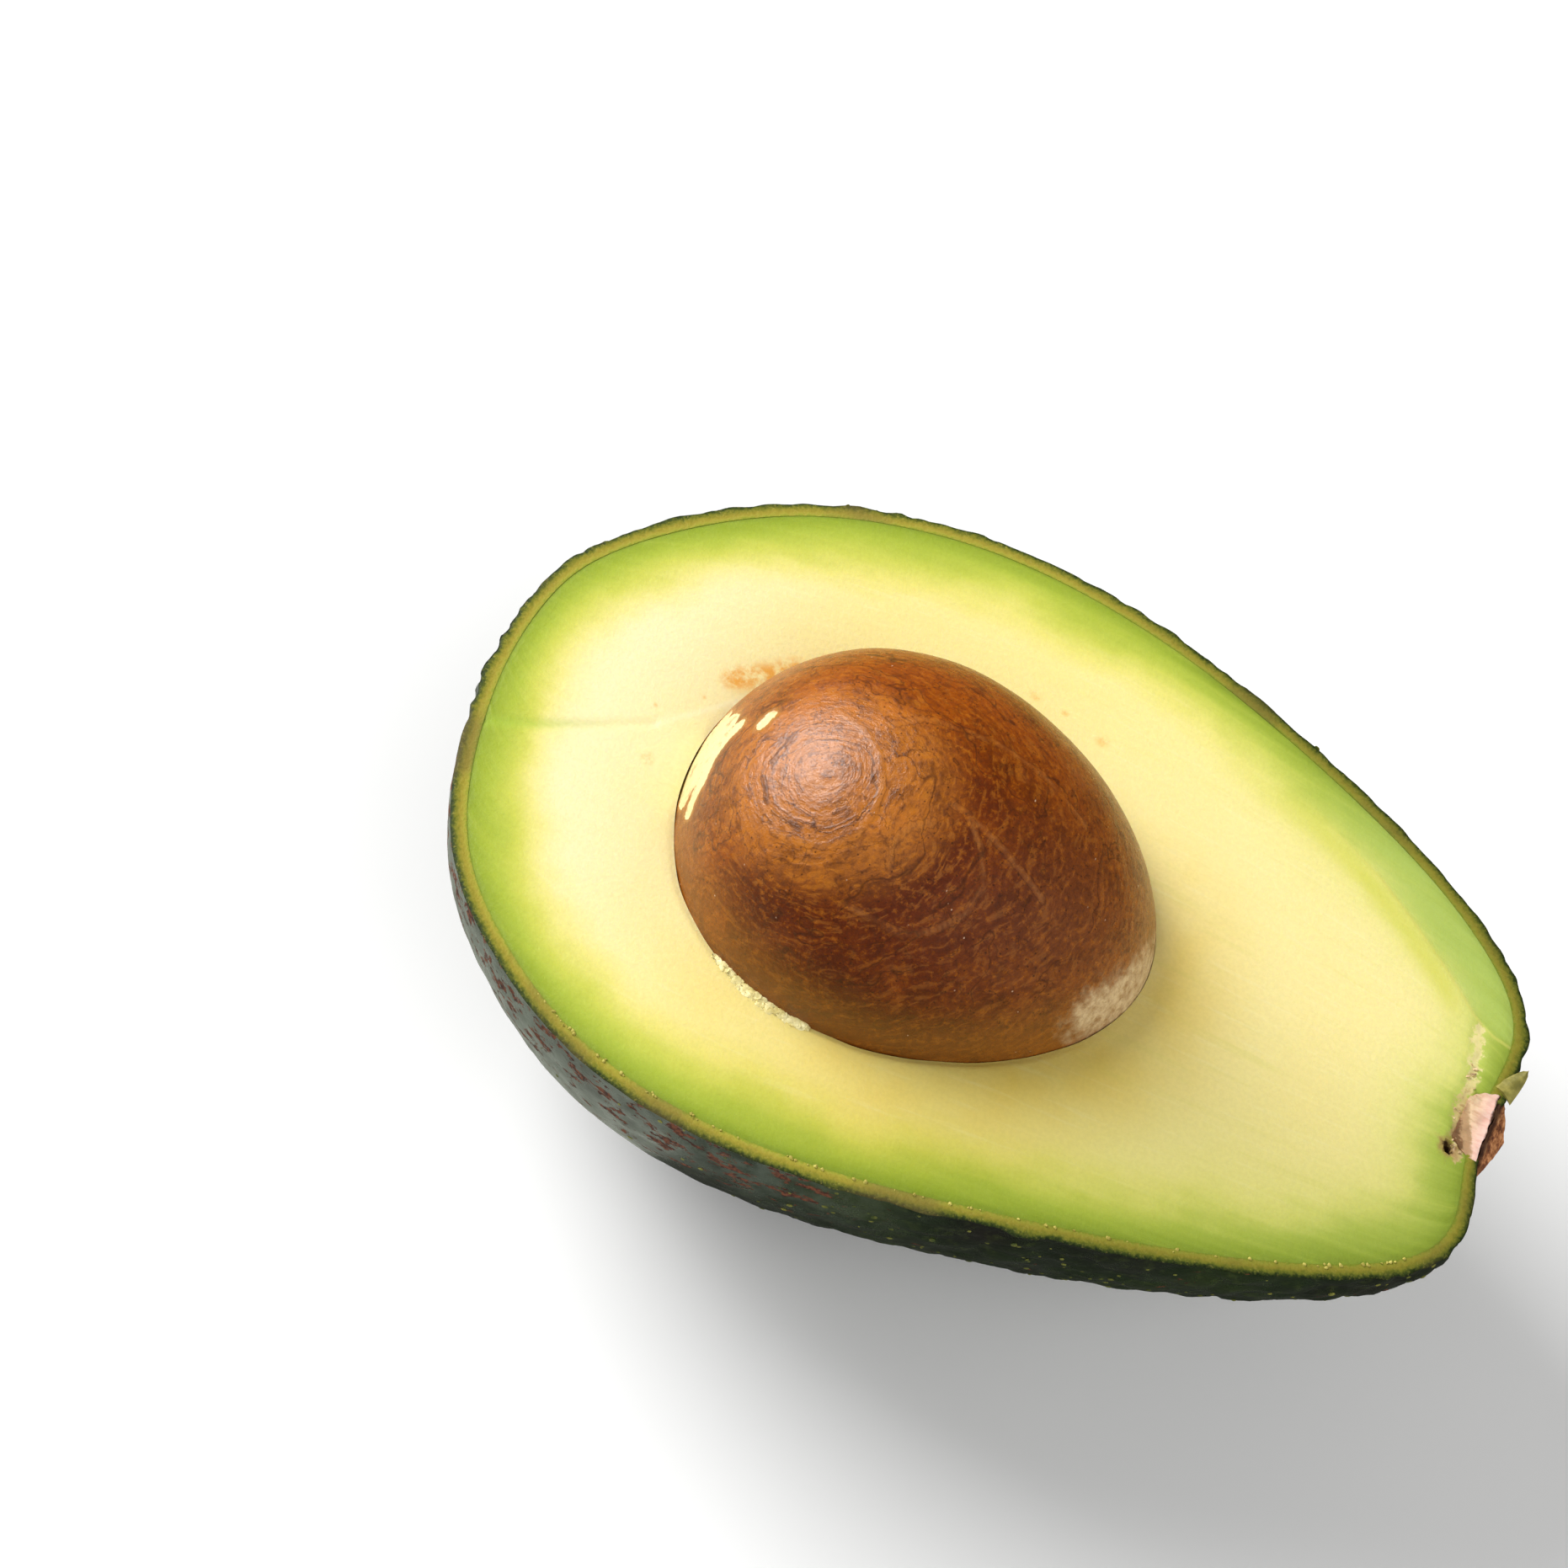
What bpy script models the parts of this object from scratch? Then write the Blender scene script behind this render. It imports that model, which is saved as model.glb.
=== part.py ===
# Half an avocado with its stone in, lying on the back of its skin, cut face up.
#
# Metres, +Z up. The origin is the middle of the small flat spot that the half rests on.
# +X runs along the fruit from the blossom end to the stem end, and the cut face is level.
# Run with: blender --background --python part.py

import math

import bpy
import bmesh
import numpy as np
from mathutils import Matrix, Vector

# Driving dimensions
FRUIT_LENGTH = 0.1014          # blossom end to the stem shoulders, along X
FRUIT_WIDTH = 0.0722           # across the cut face at its widest
HALF_DEPTH = 0.0346            # cut face down to the roundest part of the back
SKIN_THICKNESS = 0.0014
PRESSED_FLAT = 0.0009          # how far the back is pressed in where the half rests
SEED_LENGTH = 0.0463
SEED_DIAMETER = 0.0396
SEED_FROM_BLOSSOM_END = 0.0437  # blossom end to the middle of the seed
SEED_TO_SIDE = -0.0016         # middle of the seed off the fruit's axis, along Y
SEED_BELOW_CUT = 0.0029        # middle of the seed under the cut face
SEED_TAPER = 0.137             # 0 is a plain ellipsoid, more is fatter at the blossom end
STEM_DIAMETER = 0.0088
STEM_BUTTON_LENGTH = 0.0034    # the woody button, along X
STEM_STANDS_OUT = 0.0010       # past the bottom of the dent it sits in
STEM_INNER_SHARE = 0.55        # radius of the button's inner end beside its own radius
STEM_OUTER_SHARE = 0.7         # radius of its outer end beside its own radius
STEM_EDGE_SHARE = 0.3          # length of each sloping edge beside the button's length
FIT_GAP = 0.0003               # clearance between neighbouring pieces

# Outline of the cut face from the blossom end round by +Y to the stem and back by -Y.
# Each point is a share of the fruit's length from the blossom end and of its half width.
BLOSSOM_POINT = (0.000, 0.03)
PLUS_Y_SIDE = [(0.009, 0.26), (0.041, 0.455), (0.137, 0.735), (0.252, 0.915), (0.383, 0.997),
               (0.526, 0.978), (0.681, 0.867), (0.841, 0.683), (0.929, 0.532), (0.980, 0.393),
               (1.000, 0.260), (0.999, 0.130)]
STEM_POINT = (0.992, -0.04)
MINUS_Y_SIDE = [(0.996, -0.18), (1.001, -0.310), (0.982, -0.452), (0.915, -0.593), (0.773, -0.756),
                (0.613, -0.881), (0.465, -0.970), (0.337, -0.994), (0.238, -0.950),
                (0.149, -0.831), (0.070, -0.643), (0.026, -0.416), (0.006, -0.180)]

# How deep the back is beside its half width: at the blossom end, past the middle and at the stem.
# Each pair is a share of the fruit's length and the depth there. HALF_DEPTH then scales them all.
ROUNDNESS = [(0.0, 0.82), (0.6, 1.03), (1.0, 1.0)]

# Mesh fineness
STATIONS = 44                  # cross-sections along the fruit
END_CROWDING = 0.6             # 0 spaces the cross-sections evenly, 1 crowds them to the ends
OUTLINE_SAMPLES = 400          # fine points read from each side of the outline
BACK_STEPS = 22                # steps round each half cross-section
EGG_RINGS = 22
EGG_SIDES = 32
STEM_STEPS = 14
CUTTER_RISE = 0.009            # how far a cutter stands over the cut face
SHARP_ANGLE = math.radians(35)


def clear_scene():
    for thing in list(bpy.data.objects):
        bpy.data.objects.remove(thing, do_unlink=True)


def closed_curve(points):
    """Smooth closed curve through the points, as a function of a knot value, with the knots."""
    places = np.array(points)
    following = np.roll(places, -1, axis=0)
    steps = np.sqrt(np.linalg.norm(following - places, axis=1))
    knots = np.concatenate([[0.0], np.cumsum(steps)])
    slopes_between = (following - places) / steps[:, None]
    count = len(places)
    system = np.zeros((count, count))
    target = np.zeros((count, 2))
    for here in range(count):
        before = here - 1
        after = (here + 1) % count
        system[here, before] += steps[here]
        system[here, here] += 2 * (steps[before] + steps[here])
        system[here, after] += steps[before]
        target[here] = 3 * (steps[here] * slopes_between[before] + steps[before] * slopes_between[here])
    slopes = np.linalg.solve(system, target)

    def at(knot):
        here = min(int(np.searchsorted(knots, knot, side="right")) - 1, count - 1)
        after = (here + 1) % count
        width = steps[here]
        share = (knot - knots[here]) / width
        start = places[here] * (1 + 2 * share) + slopes[here] * width * share
        end = places[after] * (3 - 2 * share) - slopes[after] * width * (1 - share)
        return start * (1 - share) ** 2 + end * share ** 2

    return at, knots


def outline_sides(inset):
    """Points of the two sides of the outline, paired station by station from blossom end to stem."""
    half_width = FRUIT_WIDTH / 2
    shares = [BLOSSOM_POINT] + PLUS_Y_SIDE + [STEM_POINT] + MINUS_Y_SIDE
    curve, knots = closed_curve([(along * FRUIT_LENGTH, across * half_width) for along, across in shares])
    stem_knot = knots[len(PLUS_Y_SIDE) + 1]
    sides = []
    for first_knot, last_knot, inward in ((0.0, stem_knot, 1), (knots[-1], stem_knot, -1)):
        fine = np.array([curve(knot) for knot in np.linspace(first_knot, last_knot, OUTLINE_SAMPLES)])
        along = np.gradient(fine, axis=0)
        along /= np.linalg.norm(along, axis=1)[:, None]
        fine = fine + inset * inward * np.stack([along[:, 1], -along[:, 0]], axis=1)
        travelled = np.concatenate([[0], np.cumsum(np.linalg.norm(np.diff(fine, axis=0), axis=1))])
        even = np.linspace(0, 1, STATIONS + 1)
        crowded = (1 - np.cos(math.pi * even)) / 2
        wanted = (END_CROWDING * crowded + (1 - END_CROWDING) * even) * travelled[-1]
        sides.append(np.stack([np.interp(wanted, travelled, fine[:, axis]) for axis in (0, 1)], axis=1))
    return sides


def depth_share(along):
    """Depth of the back beside the local half width, at a distance from the blossom end."""
    places = [place * FRUIT_LENGTH for place, _ in ROUNDNESS]
    curve = np.polyfit(places, [value for _, value in ROUNDNESS], 2)
    return float(np.polyval(curve, along))


def back_depths(plus_side, minus_side):
    """Depth of each cross-section below the cut face, before any scaling to the half's depth."""
    half_chords = np.linalg.norm(plus_side - minus_side, axis=1) / 2
    middles = (plus_side + minus_side) / 2
    return half_chords * np.array([depth_share(middle[0]) for middle in middles])


def deepest_station():
    """Depth scale that gives HALF_DEPTH, and where along the fruit the back is deepest."""
    plus_side, minus_side = outline_sides(0.0)
    depths = back_depths(plus_side, minus_side)
    deepest = int(np.argmax(depths))
    middle = (plus_side[deepest] + minus_side[deepest]) / 2
    return HALF_DEPTH / depths[deepest], middle


DEPTH_SCALE, REST_PLACE = deepest_station()
CUT_HEIGHT = HALF_DEPTH - PRESSED_FLAT     # height of the cut face over the rest spot


def to_frame(along, across, height=0.0):
    """World point from a distance along the fruit, one across it and a height over the cut face."""
    return Vector((along - REST_PLACE[0], across - REST_PLACE[1], CUT_HEIGHT + height))


def half_pear(name, inset, rise):
    """Closed half fruit, its surface moved in by inset and its top raised by rise over the cut face."""
    plus_side, minus_side = outline_sides(inset)
    depths = back_depths(plus_side, minus_side) * DEPTH_SCALE
    mesh = bmesh.new()
    blossom = mesh.verts.new(to_frame(*(plus_side[0] + minus_side[0]) / 2))
    stem = mesh.verts.new(to_frame(*(plus_side[-1] + minus_side[-1]) / 2))
    rings = []
    for station in range(1, STATIONS):
        middle = (plus_side[station] + minus_side[station]) / 2
        half_chord = (plus_side[station] - minus_side[station]) / 2
        ring = []
        for step in range(BACK_STEPS + 1):
            angle = math.pi * step / BACK_STEPS
            place = middle + half_chord * math.cos(angle)
            ring.append(mesh.verts.new(to_frame(*place, -depths[station] * math.sin(angle))))
        rings.append(ring)
    for ring, following in zip(rings, rings[1:]):
        for step in range(BACK_STEPS):
            mesh.faces.new((ring[step], ring[step + 1], following[step + 1], following[step]))
    for step in range(BACK_STEPS):
        mesh.faces.new((blossom, rings[0][step + 1], rings[0][step]))
        mesh.faces.new((stem, rings[-1][step], rings[-1][step + 1]))
    rim = [edge for edge in mesh.edges if edge.is_boundary]
    if rise > 0:
        wall = bmesh.ops.extrude_edge_only(mesh, edges=rim)["geom"]
        raised = [part for part in wall if isinstance(part, bmesh.types.BMVert)]
        bmesh.ops.translate(mesh, verts=raised, vec=(0, 0, rise))
        rim = [edge for edge in mesh.edges if edge.is_boundary]
    bmesh.ops.contextual_create(mesh, geom=rim)
    everything = mesh.verts[:] + mesh.edges[:] + mesh.faces[:]
    cut = bmesh.ops.bisect_plane(mesh, geom=everything, plane_co=(0, 0, inset),
                                 plane_no=(0, 0, -1), clear_outer=True)
    spot = [part for part in cut["geom_cut"] if isinstance(part, bmesh.types.BMEdge)]
    bmesh.ops.contextual_create(mesh, geom=spot)
    return as_object(name, mesh)


def egg(name, grow):
    """The seed's shape, grown on every side, fatter towards the blossom end."""
    half_length = SEED_LENGTH / 2 + grow
    radius = SEED_DIAMETER / 2 + grow
    mesh = bmesh.new()
    bmesh.ops.create_uvsphere(mesh, u_segments=EGG_SIDES, v_segments=EGG_RINGS, radius=1.0)
    for vert in mesh.verts:
        along = vert.co.z
        round_share = 1 - SEED_TAPER * along
        vert.co = Vector((half_length * along,
                          radius * round_share * vert.co.x,
                          radius * round_share * vert.co.y))
    bmesh.ops.translate(mesh, verts=mesh.verts,
                        vec=to_frame(SEED_FROM_BLOSSOM_END, SEED_TO_SIDE, -SEED_BELOW_CUT))
    return as_object(name, mesh)


def stem_shape(name, grow, rise):
    """The half button of the stem, grown on every side and raised by rise over the cut face."""
    radius = STEM_DIAMETER / 2
    outer_end = STEM_POINT[0] * FRUIT_LENGTH + STEM_STANDS_OUT
    inner_end = outer_end - STEM_BUTTON_LENGTH
    edge = STEM_BUTTON_LENGTH * STEM_EDGE_SHARE
    profile = [(inner_end - grow, STEM_INNER_SHARE * radius + grow),
               (inner_end + edge - grow, radius + grow),
               (outer_end - edge + grow, radius + grow),
               (outer_end + grow, STEM_OUTER_SHARE * radius + grow)]
    across = STEM_POINT[1] * FRUIT_WIDTH / 2
    mesh = bmesh.new()
    rings = []
    for along, reach in profile:
        ring = []
        for step in range(STEM_STEPS + 1):
            angle = math.pi * step / STEM_STEPS
            place = to_frame(along, across + reach * math.cos(angle), -reach * math.sin(angle))
            ring.append(mesh.verts.new(place))
        if rise > 0:
            for sign in (-1, 1):
                ring.append(mesh.verts.new(to_frame(along, across + sign * reach, rise)))
        rings.append(ring)
    for ring, following in zip(rings, rings[1:]):
        for step in range(len(ring)):
            after = (step + 1) % len(ring)
            mesh.faces.new((ring[step], ring[after], following[after], following[step]))
    mesh.faces.new(rings[0])
    mesh.faces.new(rings[-1])
    return as_object(name, mesh)


def as_object(name, mesh):
    bmesh.ops.recalc_face_normals(mesh, faces=mesh.faces)
    data = bpy.data.meshes.new(name)
    mesh.to_mesh(data)
    mesh.free()
    data.shade_smooth()
    data.set_sharp_from_angle(angle=SHARP_ANGLE)
    thing = bpy.data.objects.new(name, data)
    bpy.context.collection.objects.link(thing)
    return thing


def as_cutter(thing):
    thing.hide_render = True
    thing.display_type = "WIRE"
    return thing


def cut_away(thing, cutter):
    cut = thing.modifiers.new("cut " + cutter.name, "BOOLEAN")
    cut.operation = "DIFFERENCE"
    cut.solver = "EXACT"
    cut.object = cutter


def finish_with(thing, colour, roughness):
    material = bpy.data.materials.new(thing.name)
    material.use_nodes = True
    shader = material.node_tree.nodes["Principled BSDF"]
    shader.inputs["Base Color"].default_value = (*colour, 1.0)
    shader.inputs["Roughness"].default_value = roughness
    shader.inputs["Metallic"].default_value = 0.0
    material.diffuse_color = (*colour, 1.0)
    thing.data.materials.append(material)


def build_skin(stem_room):
    skin = half_pear("skin", 0.0, 0.0)
    cut_away(skin, as_cutter(half_pear("inside_of_skin", SKIN_THICKNESS, CUTTER_RISE)))
    cut_away(skin, stem_room)
    finish_with(skin, (0.016, 0.028, 0.014), 0.35)


def build_flesh(stem_room):
    flesh = half_pear("flesh", SKIN_THICKNESS + FIT_GAP, 0.0)
    cut_away(flesh, as_cutter(egg("seed_cavity", FIT_GAP)))
    cut_away(flesh, stem_room)
    finish_with(flesh, (0.82, 0.76, 0.28), 0.45)


def build_seed():
    finish_with(egg("seed", 0.0), (0.26, 0.09, 0.03), 0.4)


def build_stem_button():
    finish_with(stem_shape("stem_button", 0.0, 0.0), (0.33, 0.16, 0.09), 0.8)


def main():
    clear_scene()
    stem_room = as_cutter(stem_shape("stem_room", FIT_GAP, CUTTER_RISE))
    build_skin(stem_room)
    build_flesh(stem_room)
    build_seed()
    build_stem_button()


main()
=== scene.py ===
import math

import bmesh
import bpy
import numpy as np
from mathutils import Matrix, Vector, noise


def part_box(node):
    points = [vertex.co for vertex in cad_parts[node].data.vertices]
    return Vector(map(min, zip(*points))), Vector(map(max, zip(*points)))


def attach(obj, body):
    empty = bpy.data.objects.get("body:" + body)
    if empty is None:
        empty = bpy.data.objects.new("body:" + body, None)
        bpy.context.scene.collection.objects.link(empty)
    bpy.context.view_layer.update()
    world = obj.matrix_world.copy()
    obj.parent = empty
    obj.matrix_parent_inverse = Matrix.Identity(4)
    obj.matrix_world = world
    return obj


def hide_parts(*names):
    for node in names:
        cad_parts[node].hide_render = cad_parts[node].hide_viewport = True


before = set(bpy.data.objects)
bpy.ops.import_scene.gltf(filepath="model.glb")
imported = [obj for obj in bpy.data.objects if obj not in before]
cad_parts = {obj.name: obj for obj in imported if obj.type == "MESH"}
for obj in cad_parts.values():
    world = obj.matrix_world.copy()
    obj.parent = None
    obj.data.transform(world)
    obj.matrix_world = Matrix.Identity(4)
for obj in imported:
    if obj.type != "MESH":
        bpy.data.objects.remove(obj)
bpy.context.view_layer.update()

mm = 0.001
skinLow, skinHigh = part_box("skin")
seedLow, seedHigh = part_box("seed")
stemLow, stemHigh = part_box("stem_button")
cutHeight = skinHigh.z

# The fruit's own shape, which the peel and the flesh share
fruit = {
    "blossomPoint": (0.000, 0.03),      # shares of the length and of the half width
    "plusSide": [(0.009, 0.26), (0.041, 0.455), (0.137, 0.735), (0.252, 0.915), (0.383, 0.997),
                 (0.526, 0.978), (0.681, 0.867), (0.841, 0.683), (0.929, 0.532), (0.980, 0.393),
                 (1.000, 0.260), (0.999, 0.130)],
    "stemPoint": (0.992, -0.04),
    "minusSide": [(0.996, -0.18), (1.001, -0.310), (0.982, -0.452), (0.915, -0.593), (0.773, -0.756),
                  (0.613, -0.881), (0.465, -0.970), (0.337, -0.994), (0.238, -0.950),
                  (0.149, -0.831), (0.070, -0.643), (0.026, -0.416), (0.006, -0.180)],
    "roundness": [(0.0, 0.82), (0.6, 1.03), (1.0, 1.0)],    # depth as a share of the half width
    "pressedFlat": 0.9 * mm,            # how far the back is flattened where it rests
    "peelThickness": 1.45 * mm,
}


def addNode(tree, kind, feeds=None, **settings):
    made = tree.nodes.new(kind)
    for key, value in settings.items():
        setattr(made, key, value)
    for key, value in (feeds or {}).items():
        if isinstance(value, bpy.types.NodeSocket):
            tree.links.new(value, made.inputs[key])
        else:
            made.inputs[key].default_value = value
    return made


def maths(tree, operation, *values):
    return addNode(tree, "ShaderNodeMath", dict(enumerate(values)), operation=operation).outputs[0]


def total(tree, first, *others):
    for other in others:
        first = maths(tree, "ADD", first, other)
    return first


def product(tree, first, *others):
    for other in others:
        first = maths(tree, "MULTIPLY", first, other)
    return first


def vectorMaths(tree, operation, first, second):
    socket = 3 if operation == "SCALE" else 1
    return addNode(tree, "ShaderNodeVectorMath", {0: first, socket: second}, operation=operation).outputs[0]


def axesOf(tree, where):
    return addNode(tree, "ShaderNodeSeparateXYZ", {0: where}).outputs


def remap(tree, value, low, high, toLow=0.0, toHigh=1.0, smooth=True):
    feeds = {"Value": value, "From Min": low, "From Max": high, "To Min": toLow, "To Max": toHigh}
    kind = "SMOOTHSTEP" if smooth else "LINEAR"
    return addNode(tree, "ShaderNodeMapRange", feeds, interpolation_type=kind).outputs[0]


def noiseAt(tree, where, scale, detail=2.0, roughness=0.5, distortion=0.0, colour=False):
    made = addNode(tree, "ShaderNodeTexNoise", {"Vector": where, "Scale": scale, "Detail": detail,
                                                "Roughness": roughness, "Distortion": distortion})
    return made.outputs["Color" if colour else "Fac"]


# Noise that swings about nought
def swingAt(tree, where, scale, detail=2.0, roughness=0.5):
    return maths(tree, "SUBTRACT", noiseAt(tree, where, scale, detail, roughness), 0.5)


def cellsAt(tree, where, scale, feature="F1"):
    cells = addNode(tree, "ShaderNodeTexVoronoi", {"Vector": where, "Scale": scale}, feature=feature)
    return cells.outputs["Distance"]


def smoothWithEdges(mesh):
    mesh.shade_smooth()
    mesh.set_sharp_from_angle(angle=math.radians(52))


def newObject(name, data):
    thing = bpy.data.objects.new(name, data)
    bpy.context.scene.collection.objects.link(thing)
    return thing


def makeMesh(name, points, faces, materialIndex=None, closed=True):
    mesh = bpy.data.meshes.new(name)
    mesh.from_pydata(np.asarray(points).tolist(), [], faces)
    if materialIndex is not None:
        mesh.polygons.foreach_set("material_index", np.asarray(materialIndex, dtype=np.int32))
    if closed:
        work = bmesh.new()
        work.from_mesh(mesh)
        bmesh.ops.recalc_face_normals(work, faces=work.faces)
        work.to_mesh(mesh)
        work.free()
    smoothWithEdges(mesh)
    return newObject(name, mesh)


def storeAttribute(thing, name, values):
    values = np.asarray(values, dtype=np.float32)
    kind = "FLOAT_VECTOR" if values.ndim == 2 else "FLOAT"
    field = "vector" if values.ndim == 2 else "value"
    thing.data.attributes.new(name, kind, "POINT").data.foreach_set(field, values.ravel())


# A new tree with one named input for each size
def geometryTree(name, inputs):
    tree = bpy.data.node_groups.new(name, "GeometryNodeTree")
    tree.interface.new_socket("Geometry", in_out="INPUT", socket_type="NodeSocketGeometry")
    for label, value in inputs.items():
        kind = "NodeSocketInt" if isinstance(value, int) else "NodeSocketFloat"
        tree.interface.new_socket(label, in_out="INPUT", socket_type=kind).default_value = value
    tree.interface.new_socket("Geometry", in_out="OUTPUT", socket_type="NodeSocketGeometry")
    return tree, tree.nodes.new("NodeGroupInput"), tree.nodes.new("NodeGroupOutput")


# The finished mesh of a tree's modifier takes the place of the piece's own
def applyTree(thing, tree, values):
    modifier = thing.modifiers.new(tree.name, "NODES")
    modifier.node_group = tree
    for item in tree.interface.items_tree:
        if item.in_out == "INPUT" and item.name in values:
            modifier[item.identifier] = values[item.name]
    graph = bpy.context.evaluated_depsgraph_get()
    made = bpy.data.meshes.new_from_object(thing.evaluated_get(graph), preserve_all_data_layers=True,
                                           depsgraph=graph)
    thing.modifiers.remove(modifier)
    thing.data = made
    made.name = thing.name
    smoothWithEdges(made)
    return thing


def positionMm(tree):
    return vectorMaths(tree, "SCALE", tree.nodes.new("GeometryNodeInputPosition").outputs[0], 1 / mm)


def named(tree, name, kind="FLOAT"):
    return addNode(tree, "GeometryNodeInputNamedAttribute", {"Name": name}, data_type=kind).outputs[0]


def facesOfSlot(tree, place):
    slot = tree.nodes.new("GeometryNodeInputMaterialIndex").outputs[0]
    same = addNode(tree, "FunctionNodeCompare", {2: slot, 3: place}, data_type="INT", operation="EQUAL")
    return same.outputs[0]


def closeTree(tree, geometry, leave, *materials):
    last = addNode(tree, "GeometryNodeRealizeInstances", {0: geometry}).outputs[0]
    for place, material in enumerate(materials):
        feeds = {"Geometry": last, "Selection": facesOfSlot(tree, place), "Material": material}
        last = addNode(tree, "GeometryNodeSetMaterial", feeds).outputs[0]
    tree.links.new(last, leave.inputs[0])


def newMaterial(name, roughness=0.5, specular=0.5, **constants):
    material = bpy.data.materials.new(name)
    material.use_nodes = True
    tree = material.node_tree
    shader = tree.nodes["Principled BSDF"]
    shader.inputs["Roughness"].default_value = roughness
    shader.inputs["Specular IOR Level"].default_value = specular
    for label, value in constants.items():
        shader.inputs[label.replace("_", " ")].default_value = value
    return material, tree, shader


def objectMm(tree):
    where = addNode(tree, "ShaderNodeTexCoord").outputs["Object"]
    return vectorMaths(tree, "SCALE", where, 1 / mm)


def attributeOf(tree, name, output="Fac"):
    return addNode(tree, "ShaderNodeAttribute", attribute_name=name).outputs[output]


def rampOf(tree, value, stops):
    made = addNode(tree, "ShaderNodeValToRGB", {"Fac": value})
    ramp = made.color_ramp
    while len(ramp.elements) < len(stops):
        ramp.elements.new(1.0)
    for element, (place, colour) in zip(ramp.elements, stops):
        element.position = place
        element.color = (*colour, 1.0)
    return made.outputs["Color"]


def mixColour(tree, share, first, second, blend="MIX"):
    made = tree.nodes.new("ShaderNodeMix")
    made.data_type = "RGBA"
    made.blend_type = blend
    for place, value in ((0, share), (6, first), (7, second)):
        if isinstance(value, bpy.types.NodeSocket):
            tree.links.new(value, made.inputs[place])
        elif place == 0:
            made.inputs[place].default_value = value
        else:
            made.inputs[place].default_value = (*value, 1.0)
    return made.outputs[2]


def bumpFrom(tree, height, strength, distance):
    return addNode(tree, "ShaderNodeBump", {"Height": height, "Strength": strength,
                                            "Distance": distance}).outputs["Normal"]


def smoothShare(value, low, high):
    share = np.clip((value - low) / (high - low), 0, 1)
    return share * share * (3 - 2 * share)


def awayFrom(points, start, step):
    share = np.clip(((points - start) @ step) / (step @ step), 0, 1)
    return points - (start + share[:, None] * step)


def distanceToPath(points, path):
    best = np.full(len(points), np.inf)
    for start, end in zip(path[:-1], path[1:]):
        best = np.minimum(best, np.linalg.norm(awayFrom(points, start, end - start), axis=1))
    return best


# A smooth closed curve through the points, and the knots it passes them at
def closedCurve(points):
    places = np.array(points)
    following = np.roll(places, -1, axis=0)
    steps = np.sqrt(np.linalg.norm(following - places, axis=1))
    knots = np.concatenate([[0.0], np.cumsum(steps)])
    between = (following - places) / steps[:, None]
    count = len(places)
    system = np.zeros((count, count))
    target = np.zeros((count, 2))
    for here in range(count):
        before, after = here - 1, (here + 1) % count
        system[here, before] += steps[here]
        system[here, here] += 2 * (steps[before] + steps[here])
        system[here, after] += steps[before]
        target[here] = 3 * (steps[here] * between[before] + steps[before] * between[here])
    slopes = np.linalg.solve(system, target)

    def at(wanted):
        here = np.clip(np.searchsorted(knots, wanted, side="right") - 1, 0, count - 1)
        after = (here + 1) % count
        width = steps[here][:, None]
        share = (wanted - knots[here])[:, None] / width
        start = places[here] * (1 + 2 * share) + slopes[here] * width * share
        end = places[after] * (3 - 2 * share) - slopes[after] * width * (1 - share)
        return start * (1 - share) ** 2 + end * share ** 2

    return at, knots


fruitCurve, fruitKnots = closedCurve([fruit["blossomPoint"]] + fruit["plusSide"]
                                     + [fruit["stemPoint"]] + fruit["minusSide"])
stemKnot = fruitKnots[len(fruit["plusSide"]) + 1]
curveBox = fruitCurve(np.linspace(0, fruitKnots[-1], 4000))
curveLow, curveHigh = curveBox.min(axis=0), curveBox.max(axis=0)


def intoFrame(shares):
    low = np.array([skinLow.x, skinLow.y])
    high = np.array([skinHigh.x, skinHigh.y])
    return low + (shares - curveLow) / (curveHigh - curveLow) * (high - low)


def outlineSides(inset, stations, crowding=0.6):
    sides = []
    for firstKnot, lastKnot, inward in ((0.0, stemKnot, 1), (fruitKnots[-1], stemKnot, -1)):
        fine = intoFrame(fruitCurve(np.linspace(firstKnot, lastKnot, 3000)))
        along = np.gradient(fine, axis=0)
        along /= np.linalg.norm(along, axis=1)[:, None]
        fine = fine + inset * inward * np.stack([along[:, 1], -along[:, 0]], axis=1)
        travelled = np.concatenate([[0], np.cumsum(np.linalg.norm(np.diff(fine, axis=0), axis=1))])
        even = np.linspace(0, 1, stations + 1)
        wanted = (crowding * (1 - np.cos(math.pi * even)) / 2 + (1 - crowding) * even) * travelled[-1]
        sides.append(np.stack([np.interp(wanted, travelled, fine[:, axis]) for axis in (0, 1)], axis=1))
    middle = (sides[0][[0, -1]] + sides[1][[0, -1]]) / 2
    sides[0][[0, -1]] = middle
    sides[1][[0, -1]] = middle
    return sides


fruitLength = skinHigh.x - skinLow.x
roundCurve = np.polyfit([place for place, _ in fruit["roundness"]],
                        [value for _, value in fruit["roundness"]], 2)


def rawDepths(plus, minus):
    chords = np.linalg.norm(plus - minus, axis=1) / 2
    along = ((plus + minus) / 2)[:, 0]
    return chords * np.polyval(roundCurve, (along - skinLow.x) / fruitLength)


depthScale = (cutHeight + fruit["pressedFlat"]) / rawDepths(*outlineSides(0.0, 300)).max()


def softFloor(height, low, blend):
    return low + blend * np.logaddexp(0, (height - low) / blend)


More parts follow.
